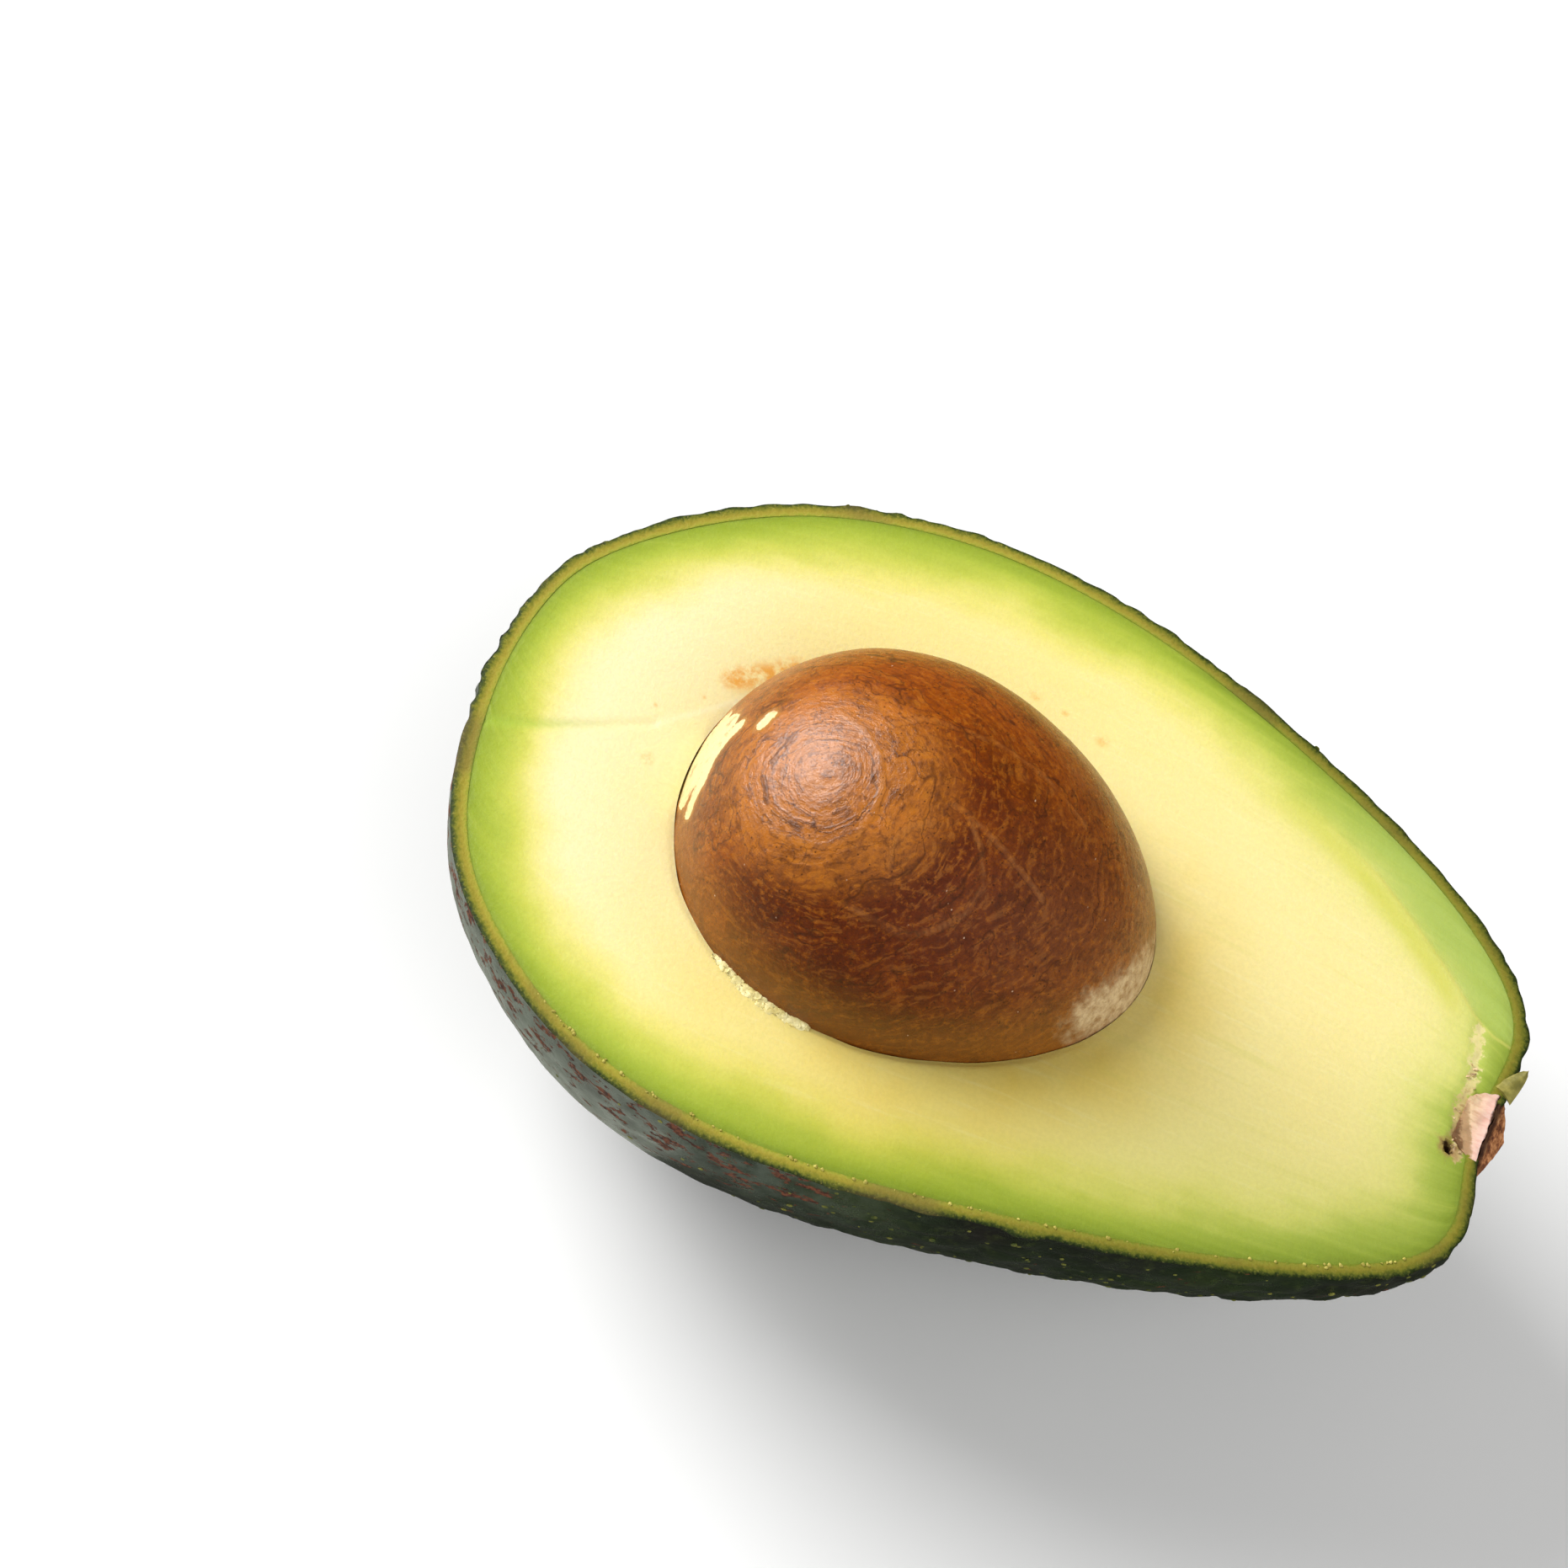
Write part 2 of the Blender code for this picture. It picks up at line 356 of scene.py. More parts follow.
def halfShell(inset, stations, steps):
    plus, minus = outlineSides(inset, stations)
    depths = rawDepths(plus, minus) * depthScale
    angles = np.linspace(0, math.pi, steps + 1)
    middle, chord = (plus + minus) / 2, (plus - minus) / 2
    flat = middle[:, None] + chord[:, None] * np.cos(angles)[None, :, None]
    height = cutHeight - depths[:, None] * np.sin(angles)[None]
    deep = height < cutHeight / 2
    height = np.where(deep, softFloor(height, inset, 0.06 * mm), height)
    return np.concatenate([flat, height[..., None]], axis=2)


# Point numbers of a half shell: one pole at each end, a row at each station between
def shellIndex(stations, steps, offset):
    index = np.zeros((stations + 1, steps + 1), dtype=int)
    index[0] = offset
    index[1:-1] = offset + 1 + np.arange((stations - 1) * (steps + 1)).reshape(stations - 1, steps + 1)
    index[-1] = offset + 1 + (stations - 1) * (steps + 1)
    return index


def shellFaces(index):
    faces = [[index[0, 0], index[1, step + 1], index[1, step]] for step in range(index.shape[1] - 1)]
    faces += [[index[-1, 0], index[-2, step], index[-2, step + 1]] for step in range(index.shape[1] - 1)]
    body = index[1:-1]
    quads = np.stack([body[:-1, :-1], body[:-1, 1:], body[1:, 1:], body[1:, :-1]], axis=-1)
    return faces + quads.reshape(-1, 4).tolist()


def shellRim(index):
    return np.concatenate([index[:, 0], index[-2:0:-1, -1]])


def loopFaces(first, second):
    quads = np.stack([first, np.roll(first, -1), np.roll(second, -1), second], axis=-1)
    return quads.tolist()


def shellPoints(shell):
    return np.concatenate([shell[0, :1], shell[1:-1].reshape(-1, 3), shell[-1, :1]])


def outwardOf(shell):
    alongWay = np.gradient(shell, axis=0)
    roundWay = np.gradient(shell, axis=1)
    outward = np.cross(roundWay, alongWay)
    length = np.linalg.norm(outward, axis=2)[..., None]
    outward = outward / np.maximum(length, 1e-12)
    outward[0], outward[-1] = outward[1].mean(axis=0), outward[-2].mean(axis=0)
    outward[:, [0, -1], 2] = 0
    outward /= np.maximum(np.linalg.norm(outward, axis=2)[..., None], 1e-12)
    centre = np.array([0, 0, cutHeight])
    sign = np.sign(np.einsum("ijk,ijk->ij", outward, shell - centre))
    return outward * np.where(sign == 0, 1, sign)[..., None]


# The stem button's sizes stand here, because the rim of the peel makes way for it
stem = {
    "woodFrom": -0.4 * mm, "woodTo": 2.40 * mm,     # along X from the button's inner end
    "woodRadius": 3.75 * mm, "barkFrom": 2.50 * mm, "barkTo": 4.15 * mm, "barkRadius": 4.50 * mm,
    "arcSteps": 40, "topSteps": 26, "roughen": 0.16 * mm, "slant": 0.05, "noiseSeed": 3,
}
stemMiddleY = (stemLow.y + stemHigh.y) / 2

peel = {
    "stations": 330, "steps": 220, "bandSteps": 7, "insideSteps": 18,
    "Pebble size": 3.3, "Pebble height": 0.36, "Wrinkle height": 0.26, "Grain height": 0.02,
    "edgeDrop": 0.10 * mm,              # the cut band's outer edge is a little rounded
    "stemNotch": 1.6 * mm,              # how far the rim sinks behind the woody stub
}


def peelRelief(outside, cutEdge):
    names = ("Pebble size", "Pebble height", "Wrinkle height", "Grain height")
    tree, entry, leave = geometryTree("peel relief", {name: peel[name] for name in names})
    where = positionMm(tree)
    warp = noiseAt(tree, where, 0.16, 2.0, colour=True)
    warped = vectorMaths(tree, "ADD", where, vectorMaths(tree, "SCALE", warp, 5.0))
    stretched = vectorMaths(tree, "MULTIPLY", warped, (0.7, 1.0, 1.0))
    perCell = maths(tree, "DIVIDE", 1.0, entry.outputs["Pebble size"])
    edge = cellsAt(tree, stretched, perCell, "DISTANCE_TO_EDGE")
    crest = remap(tree, edge, 0.0, 0.34)
    dome = cellsAt(tree, stretched, perCell, "SMOOTH_F1")
    pebble = maths(tree, "SUBTRACT", product(tree, crest, 0.7), dome)
    patchy = remap(tree, noiseAt(tree, where, 0.07, 2.0), 0.3, 0.7, 0.45, 1.15)
    # the skin is smoother at the blossom end on the -Y side
    axes = axesOf(tree, where)
    calm = product(tree, remap(tree, axes[0], 16.0, -12.0), remap(tree, axes[1], -4.0, -18.0), 0.72)
    lively = maths(tree, "SUBTRACT", 1.0, calm)
    pebbleHigh = product(tree, pebble, product(tree, patchy, lively), entry.outputs["Pebble height"])
    wrinkle = swingAt(tree, stretched, 0.42, 3.0, 0.55)
    wrinkleHigh = product(tree, wrinkle, lively, product(tree, 2.0, entry.outputs["Wrinkle height"]))
    grain = product(tree, swingAt(tree, where, 1.9), entry.outputs["Grain height"])
    height = total(tree, pebbleHigh, wrinkleHigh, total(tree, grain, 0.06))
    outward = named(tree, "outward", "FLOAT_VECTOR")
    offset = vectorMaths(tree, "SCALE", vectorMaths(tree, "SCALE", outward, height), mm)
    stored = addNode(tree, "GeometryNodeStoreNamedAttribute",
                     {"Geometry": entry.outputs["Geometry"], "Name": "relief", "Value": height},
                     data_type="FLOAT", domain="POINT")
    moved = addNode(tree, "GeometryNodeSetPosition", {"Geometry": stored.outputs[0], "Offset": offset})
    # nothing sinks under the rest spot
    place = axesOf(tree, tree.nodes.new("GeometryNodeInputPosition").outputs[0])
    bounded = maths(tree, "MAXIMUM", place[2], 0.0)
    rebuilt = addNode(tree, "ShaderNodeCombineXYZ", {0: place[0], 1: place[1], 2: bounded})
    placed = addNode(tree, "GeometryNodeSetPosition", {"Geometry": moved.outputs[0],
                                                       "Position": rebuilt.outputs[0]})
    closeTree(tree, placed.outputs[0], leave, outside, cutEdge)
    return tree


def peelSkinMaterial():
    material, tree, shader = newMaterial("peelOutside", 0.28, 0.45)
    where = objectMm(tree)
    blotch = noiseAt(tree, where, 0.045, 3.0, 0.55)
    base = rampOf(tree, blotch, [(0.30, (0.017, 0.007, 0.009)), (0.45, (0.010, 0.014, 0.007)),
                                 (0.58, (0.011, 0.023, 0.006)), (0.75, (0.034, 0.054, 0.005))])
    # paler, browner pebble crests: partly their own tone, partly painted shade darkening the hollows
    crest = remap(tree, attributeOf(tree, "relief"), -0.25, 0.35)
    base = mixColour(tree, product(tree, crest, 0.30), base, (0.026, 0.034, 0.014))
    mottle = remap(tree, noiseAt(tree, where, 0.9, 3.0, 0.6), 0.52, 0.7, 0.0, 0.35)
    base = mixColour(tree, mottle, base, (0.055, 0.075, 0.014))
    # grey-green bloom, partly the skin's waxy bloom and partly a painted reflection of the pale floor, and
    # cork-brown scuffs, thickest under the rim on the -Y side
    axes = axesOf(tree, where)
    nearRim = remap(tree, axes[2], cutHeight / mm - 16, cutHeight / mm - 2)
    blossomSide = remap(tree, axes[0], 14.0, -8.0)
    zone = product(tree, nearRim, blossomSide, remap(tree, axes[1], 0.0, -14.0))
    # painted reflection: the grey-green patch stands in for the floor's sheen, mixed with real waxy bloom
    bloomAndSheen = remap(tree, noiseAt(tree, where, 0.35, 3.0, 0.6), 0.35, 0.65, 0.25, 0.75)
    base = mixColour(tree, product(tree, zone, bloomAndSheen, 0.8), base, (0.155, 0.185, 0.145))
    stretched = vectorMaths(tree, "MULTIPLY", where, (0.5, 1.0, 1.0))
    corkNoise = noiseAt(tree, stretched, 0.80, 5.0, 0.68)
    cork = remap(tree, total(tree, corkNoise, product(tree, zone, 0.14)), 0.660, 0.690)
    corkTone = rampOf(tree, noiseAt(tree, where, 2.5, 3.0), [(0.4, (0.060, 0.016, 0.013)),
                                                             (0.6, (0.22, 0.065, 0.030))])
    base = mixColour(tree, product(tree, cork, 0.85), base, corkTone)
    tree.links.new(base, shader.inputs["Base Color"])
    waxy = remap(tree, noiseAt(tree, where, 0.5, 3.0), 0.3, 0.7, 0.24, 0.36)
    tree.links.new(total(tree, waxy, product(tree, cork, 0.35)), shader.inputs["Roughness"])
    shine = remap(tree, cork, 0.0, 1.0, 0.45, 0.08, smooth=False)
    tree.links.new(shine, shader.inputs["Specular IOR Level"])
    fine = total(tree, noiseAt(tree, where, 2.6, 3.0), product(tree, cork, 0.5))
    tree.links.new(bumpFrom(tree, fine, 0.20, 0.15 * mm), shader.inputs["Normal"])
    return material


def peelCutMaterial():
    material, tree, shader = newMaterial("peelCutEdge", 0.6, 0.2)
    where = objectMm(tree)
    grainy = noiseAt(tree, where, 2.2, 3.0, 0.65)
    shifted = total(tree, attributeOf(tree, "bandShare"), remap(tree, grainy, 0.3, 0.7, -0.10, 0.10))
    base = rampOf(tree, shifted, [(0.0, (0.018, 0.030, 0.006)), (0.14, (0.050, 0.072, 0.008)),
                                  (0.36, (0.20, 0.200, 0.018)), (0.62, (0.34, 0.280, 0.030)),
                                  (0.86, (0.38, 0.345, 0.040)), (1.0, (0.27, 0.31, 0.026))])
    speck = remap(tree, noiseAt(tree, where, 4.5, 2.0), 0.55, 0.75, 0.0, 0.35)
    base = mixColour(tree, speck, base, (0.45, 0.37, 0.08))
    brown = remap(tree, noiseAt(tree, where, 0.10, 2.0), 0.52, 0.68, 0.0, 0.45)
    base = mixColour(tree, brown, base, (0.16, 0.11, 0.035))
    stemward = remap(tree, axesOf(tree, where)[0], -6.0, 30.0)
    base = mixColour(tree, stemward, base, (0.66, 0.70, 0.66), "MULTIPLY")
    tree.links.new(base, shader.inputs["Base Color"])
    tree.links.new(bumpFrom(tree, grainy, 0.5, 0.2 * mm), shader.inputs["Normal"])
    return material


def buildPeel():
    stations, steps = peel["stations"], peel["steps"]
    outer = halfShell(0.0, stations, steps)
    inner = halfShell(fruit["peelThickness"], stations, peel["insideSteps"])
    outerIndex = shellIndex(stations, steps, 0)
    outerPoints = shellPoints(outer)
    outward = shellPoints(outwardOf(outer))
    innerIndex = shellIndex(stations, peel["insideSteps"], len(outerPoints))
    innerPoints = shellPoints(inner)
    points = np.concatenate([outerPoints, innerPoints])
    outward = np.concatenate([outward, np.zeros_like(innerPoints)])
    bandShare = np.concatenate([np.zeros(len(outerPoints)), np.ones(len(innerPoints))])
    faces = shellFaces(outerIndex)
    outsideCount = len(faces)
    outerRim, innerRim = shellRim(outerIndex), shellRim(innerIndex)
    previous = outerRim
    for level in range(1, peel["bandSteps"]):
        share = level / peel["bandSteps"]
        loop = points[outerRim] * (1 - share) + points[innerRim] * share
        index = len(points) + np.arange(len(loop))
        points = np.concatenate([points, loop])
        outward = np.concatenate([outward, outward[outerRim] * (1 - share) ** 1.5])
        bandShare = np.concatenate([bandShare, np.full(len(loop), share)])
        faces += loopFaces(previous, index)
        previous = index
    faces += loopFaces(previous, innerRim)
    faces += shellFaces(innerIndex)
    points[outerRim, 2] -= peel["edgeDrop"]
    # the rim makes way for the woody stub
    aside = np.abs(points[:, 1] - stemMiddleY - 0.3 * mm) / (0.86 * stem["woodRadius"])
    room = (1 - smoothShare(aside, 0.82, 1.0)) * (points[:, 0] > stemLow.x - 2 * mm)
    high = smoothShare(points[:, 2], cutHeight - 3.5 * mm, cutHeight - 0.5 * mm)
    points[:, 2] -= room * peel["stemNotch"] * high
    materialIndex = np.ones(len(faces))
    materialIndex[:outsideCount] = 0
    thing = makeMesh("peel", points, faces, materialIndex)
    storeAttribute(thing, "outward", outward)
    storeAttribute(thing, "bandShare", bandShare)
    thing.data.materials.append(peelSkinMaterial())
    thing.data.materials.append(peelCutMaterial())
    return applyTree(thing, peelRelief(*thing.data.materials), peel)


print("peel")
peelPiece = buildPeel()


seed = {
    "rings": 250, "sides": 300,
    "taper": 0.137,                     # how much fatter the blossom end is
    "swirlAt": (-0.49, 105),            # share along the seed, degrees round its long axis
    "Coat wrinkle": 0.17, "Fold height": 0.085, "Chip depth": 0.10, "Dimple height": 0.22,
    # paths as (share along the seed, degrees round it); a chip has its radius in mm too
    "folds": [[(-0.54, 85), (-0.43, 89), (-0.34, 95), (-0.28, 103), (-0.27, 110), (-0.29, 117),
               (-0.35, 122), (-0.46, 125), (-0.58, 126)],
              [(-0.02, 99), (0.12, 101), (0.26, 104), (0.45, 110)],
              [(-0.22, 134), (-0.09, 135), (0.03, 135), (0.12, 131), (0.20, 124), (0.22, 115),
               (0.15, 106), (0.05, 100)],
              [(-0.13, 121), (-0.16, 116), (-0.13, 110), (-0.05, 106)],
              [(-0.35, 85), (-0.24, 79), (0.03, 76), (0.26, 75), (0.49, 79)]],
    "chips": [([(-0.985, 135), (-0.985, 95), (-0.975, 72), (-0.960, 64)], 1.9),
              ([(-0.915, 140), (-0.920, 124), (-0.920, 107), (-0.905, 94), (-0.880, 87)], 0.75),
              ([(-0.960, 135), (-0.955, 110), (-0.940, 90), (-0.925, 80)], 1.55),
              ([(-0.80, 90), (-0.780, 86)], 0.62)],
    "paleTip": [(0.97, 95), (0.945, 118), (0.91, 134), (0.84, 146)],
}
seedMiddle = (seedLow + seedHigh) / 2
seedHalfLength = (seedHigh.x - seedLow.x) / 2
fullest = (1 - math.sqrt(1 + 8 * seed["taper"] ** 2)) / (4 * seed["taper"])
fullestRadius = math.sqrt(1 - fullest ** 2) * (1 - seed["taper"] * fullest)
seedRadius = (seedHigh.y - seedLow.y) / 2 / fullestRadius


def eggRadius(along):
    return seedRadius * np.sqrt(np.clip(1 - along ** 2, 0, None)) * (1 - seed["taper"] * along)


def onSeed(along, degrees):
    reach = eggRadius(np.asarray(along))
    turn = np.radians(degrees)
    return np.stack([seedMiddle.x + seedHalfLength * np.asarray(along),
                     seedMiddle.y + reach * np.cos(turn), seedMiddle.z + reach * np.sin(turn)], axis=-1)


# Where lines from the seed's axis meet its surface at a height, found by halving
def seedOutlineAt(directions, height, grow):
    near, far = np.zeros(len(directions)), np.full(len(directions), seedHalfLength * 1.2)
    for _ in range(40):
        middle = (near + far) / 2
        along = middle * directions[:, 0] / (seedHalfLength + grow)
        reach = eggRadius(np.clip(along, -1, 1)) * (1 + grow / seedRadius)
        inside = (np.abs(along) < 1) & (np.hypot(middle * directions[:, 1], height - seedMiddle.z) < reach)
        near, far = np.where(inside, middle, near), np.where(inside, far, middle)
    return np.stack([seedMiddle.x + near * directions[:, 0], seedMiddle.y + near * directions[:, 1]], axis=1)


# The rings round the swirl, bent by two sizes of noise
def seedFlow(tree, where, flow):
    warp = vectorMaths(tree, "SCALE", noiseAt(tree, where, 0.10, 2.0, colour=True), 5.0)
    finer = vectorMaths(tree, "SCALE", noiseAt(tree, where, 0.45, 2.0, colour=True), 1.1)
    return vectorMaths(tree, "ADD", flow, vectorMaths(tree, "ADD", warp, finer))


def chipShare(tree, where, chipEdge):
    return remap(tree, total(tree, chipEdge, swingAt(tree, where, 0.9, 3.0, 0.55)), 0.08, -0.08)


def seedRelief(coat):
    names = ("Coat wrinkle", "Fold height", "Chip depth", "Dimple height")
    tree, entry, leave = geometryTree("seed coat relief", {name: seed[name] for name in names})
    size = entry.outputs
    where = positionMm(tree)
    lines = swingAt(tree, seedFlow(tree, where, named(tree, "flow", "FLOAT_VECTOR")), 1.9, 3.0, 0.6)
    wrinkle = product(tree, lines, product(tree, size["Coat wrinkle"], named(tree, "nearSwirl")))
    fold = product(tree, named(tree, "fold"), size["Fold height"])
    chip = product(tree, chipShare(tree, where, named(tree, "chipEdge")), size["Chip depth"])
    dimple = product(tree, swingAt(tree, where, 0.16), size["Dimple height"])
    grain = product(tree, swingAt(tree, where, 0.9, 3.0, 0.6), 0.05)
    height = total(tree, wrinkle, dimple, grain, maths(tree, "SUBTRACT", fold, chip))
    normal = tree.nodes.new("GeometryNodeInputNormal").outputs[0]
    offset = vectorMaths(tree, "SCALE", vectorMaths(tree, "SCALE", normal, height), mm)
    moved = addNode(tree, "GeometryNodeSetPosition", {"Geometry": entry.outputs[0], "Offset": offset})
    closeTree(tree, moved.outputs[0], leave, coat)
    return tree


def contour(tree, value, width):
    away = maths(tree, "ABSOLUTE", maths(tree, "SUBTRACT", value, 0.5))
    return remap(tree, away, 0.0, width, 1.0, 0.0)


def seedMaterial():
    material, tree, shader = newMaterial("seedCoat", 0.33, 0.54)
    where = objectMm(tree)
    flowing = seedFlow(tree, where, attributeOf(tree, "flow", "Vector"))
    nearSwirl = attributeOf(tree, "nearSwirl")
    patches = noiseAt(tree, where, 0.10, 4.0, 0.6, 0.8)
    base = rampOf(tree, patches, [(0.30, (0.110, 0.019, 0.002)), (0.43, (0.205, 0.042, 0.003)),
                                  (0.54, (0.340, 0.084, 0.004)), (0.68, (0.530, 0.155, 0.007))])
    along, across, _ = axesOf(tree, where)
    lower = remap(tree, across, seedMiddle.y / mm + 4, seedMiddle.y / mm - 12, 0.0, 0.16)
    ruddy = remap(tree, total(tree, noiseAt(tree, where, 0.12), lower), 0.47, 0.62, 0.0, 0.66)
    base = mixColour(tree, ruddy, base, (0.180, 0.036, 0.009))
    upper = remap(tree, across, seedMiddle.y / mm - 2, seedMiddle.y / mm + 12, 0.0, 0.80)
    base = mixColour(tree, upper, base, (0.62, 0.175, 0.004))
    blunt = remap(tree, along, seedMiddle.x / mm - 8, seedLow.x / mm + 1, 0.0, 0.44)
    base = mixColour(tree, blunt, base, (0.64, 0.225, 0.018))
    stemSide = remap(tree, along, seedMiddle.x / mm + 1, seedHigh.x / mm - 3, 0.0, 0.54)
    base = mixColour(tree, stemSide, base, (0.54, 0.210, 0.042))
    base = mixColour(tree, 0.85, base, (0.58, 0.40, 0.20), "MULTIPLY")
    # painted highlight: the base is made paler round the swirl, under the key light's highlight
    paintedHighlight = remap(tree, nearSwirl, 0.40, 1.0, 0.0, 0.55)
    base = mixColour(tree, paintedHighlight, base, (0.66, 0.225, 0.026))
    mottle = noiseAt(tree, where, 1.7, 6.0, 0.76)
    base = mixColour(tree, remap(tree, mottle, 0.50, 0.64, 0.0, 0.42), base, (0.070, 0.013, 0.001))
    base = mixColour(tree, remap(tree, mottle, 0.49, 0.35, 0.0, 0.34), base, (0.54, 0.165, 0.010))
    cloud = noiseAt(tree, where, 0.42, 5.0, 0.7)
    base = mixColour(tree, remap(tree, cloud, 0.50, 0.64, 0.0, 0.42), base, (0.085, 0.019, 0.004))
    streak = noiseAt(tree, flowing, 2.0, 4.0, 0.62)
    lined = total(tree, product(tree, nearSwirl, 0.30), 0.20)
    base = mixColour(tree, product(tree, remap(tree, streak, 0.50, 0.66), lined), base,
                     (0.085, 0.022, 0.005))
    base = mixColour(tree, product(tree, remap(tree, streak, 0.50, 0.36), lined), base,
                     (0.54, 0.180, 0.014))
    haze = remap(tree, noiseAt(tree, where, 0.22, 5.0, 0.75), 0.52, 0.72, 0.0, 0.09)
    base = mixColour(tree, haze, base, (0.40, 0.16, 0.05))
    veins = contour(tree, noiseAt(tree, flowing, 0.16, 2.0, 0.5), 0.0070)
    base = mixColour(tree, product(tree, veins, 0.60), base, (0.055, 0.014, 0.004))
    webbing = contour(tree, noiseAt(tree, where, 0.27, 4.0, 0.55, 0.4), 0.010)
    base = mixColour(tree, product(tree, webbing, 0.55), base, (0.060, 0.016, 0.004))
    pores = remap(tree, cellsAt(tree, where, 1.25), 0.07, 0.15, 0.75, 0.0)
    base = mixColour(tree, pores, base, (0.040, 0.012, 0.005))
    fold = attributeOf(tree, "fold")
    fading = remap(tree, noiseAt(tree, where, 0.45, 3.0, 0.6), 0.36, 0.58, 0.25, 1.0)
    base = mixColour(tree, product(tree, fold, fading, 0.42), base, (0.50, 0.19, 0.040))
    # painted shade: a dark line in the crease beside each fold
    beside = maths(tree, "ABSOLUTE", maths(tree, "SUBTRACT", fold, 0.12))
    creaseShade = product(tree, remap(tree, beside, 0.0, 0.10, 0.50, 0.0), fading)
    base = mixColour(tree, creaseShade, base, (0.060, 0.014, 0.003))
    base = mixColour(tree, product(tree, attributeOf(tree, "edgeGlow"), 0.35), base, (0.36, 0.140, 0.016))
    tipRough = product(tree, swingAt(tree, where, 0.55, 5.0, 0.7), 6.0)
    tip = remap(tree, total(tree, attributeOf(tree, "tipDistance"), tipRough), 4.6, 1.2, 0.0, 0.88)
    tipMottle = rampOf(tree, noiseAt(tree, where, 0.9, 5.0, 0.7), [(0.36, (0.38, 0.22, 0.10)),
                                                                  (0.62, (0.78, 0.59, 0.34))])
    base = mixColour(tree, tip, base, tipMottle)
    chipEdge = attributeOf(tree, "chipEdge")
    cream = rampOf(tree, noiseAt(tree, where, 0.7, 3.0, 0.6), [(0.33, (0.72, 0.36, 0.17)),
                                                               (0.45, (0.86, 0.73, 0.36))])
    base = mixColour(tree, remap(tree, chipEdge, 0.75, 0.0, 0.0, 0.55), base, (0.48, 0.21, 0.035))
    base = mixColour(tree, chipShare(tree, where, chipEdge), base, cream)
    fleck = remap(tree, cellsAt(tree, vectorMaths(tree, "MULTIPLY", where, (1.0, 0.55, 1.0)), 0.8),
                  0.035, 0.07, 0.8, 0.0)
    flecks = product(tree, fleck, remap(tree, noiseAt(tree, where, 0.25), 0.50, 0.58))
    base = mixColour(tree, flecks, base, (0.66, 0.44, 0.30))
    tree.links.new(base, shader.inputs["Base Color"])
    tree.links.new(remap(tree, mottle, 0.35, 0.65, 0.26, 0.37), shader.inputs["Roughness"])
    ridges = product(tree, streak, total(tree, nearSwirl, 0.25))
    fine = total(tree, noiseAt(tree, where, 2.6, 4.0, 0.65), ridges)
    tree.links.new(bumpFrom(tree, fine, 0.38, 0.18 * mm), shader.inputs["Normal"])
    return material


def buildSeed():
    rings, sides = seed["rings"], seed["sides"]
    lean = np.linspace(0, math.pi, rings + 1)[1:-1]
    along = np.repeat(-np.cos(lean)[:, None], sides, axis=1)
    turn = np.repeat(np.linspace(0, 360, sides, endpoint=False)[None], rings - 1, axis=0)
    grid = onSeed(along, turn).reshape(-1, 3)
    blossomPole, stemPole = onSeed(-1.0, 0), onSeed(1.0, 0)
    points = np.concatenate([[blossomPole], grid, [stemPole]])
    index = 1 + np.arange((rings - 1) * sides).reshape(rings - 1, sides)
    following = np.roll(index, -1, axis=1)
    quads = np.stack([index[:-1], following[:-1], following[1:], index[1:]], axis=-1).reshape(-1, 4).tolist()
    last = len(points) - 1
    faces = quads + [[0, after, here] for here, after in zip(index[0], following[0])]
    faces += [[last, here, after] for here, after in zip(index[-1], following[-1])]
    thing = makeMesh("seed", points, faces)
    centre = np.array(seedMiddle)
    swirl = onSeed(*seed["swirlAt"])
    # the flow runs in rings round the swirl: fine across them, slow along them
    scaled = (points - centre) / np.array([seedHalfLength, seedRadius, seedRadius])
    scaled /= np.linalg.norm(scaled, axis=1)[:, None]
    axis = (swirl - centre) / np.array([seedHalfLength, seedRadius, seedRadius])
    axis /= np.linalg.norm(axis)
    sideways = np.cross(axis, [0, 0, 1.0])
    sideways /= np.linalg.norm(sideways)
    other = np.cross(axis, sideways)
    ring = np.arccos(np.clip(scaled @ axis, -1, 1)) * seedRadius / mm
    storeAttribute(thing, "flow", np.column_stack([ring, points @ sideways * 0.22 / mm,
                                                   points @ other * 0.22 / mm]))
    storeAttribute(thing, "nearSwirl", 0.22 + 0.78 * (1 - smoothShare(ring, 5.0, 15.0)))
    fold = np.zeros(len(points))
    for path in seed["folds"]:
        distance = distanceToPath(points, np.array([onSeed(*place) for place in path]))
        fold = np.maximum(fold, np.exp(-(distance / (0.21 * mm)) ** 2))
    storeAttribute(thing, "fold", fold)         # one on a crest, falling off beside it
    chipEdge = np.full(len(points), 9.0)
    for path, radius in seed["chips"]:
        distance = distanceToPath(points, np.array([onSeed(*place) for place in path])) / mm
        chipEdge = np.minimum(chipEdge, distance - radius)
    storeAttribute(thing, "chipEdge", chipEdge)
    distance = distanceToPath(points, np.array([onSeed(*place) for place in seed["paleTip"]]))
    storeAttribute(thing, "tipDistance", distance / mm)
    overCut = (points[:, 2] - cutHeight) / (seedHigh.z - cutHeight)
    storeAttribute(thing, "edgeGlow", 1 - smoothShare(overCut, 0.0, 0.45))
    thing.data.materials.append(seedMaterial())
    return applyTree(thing, seedRelief(thing.data.materials[0]), seed)


print("seed")
seedPiece = buildSeed()


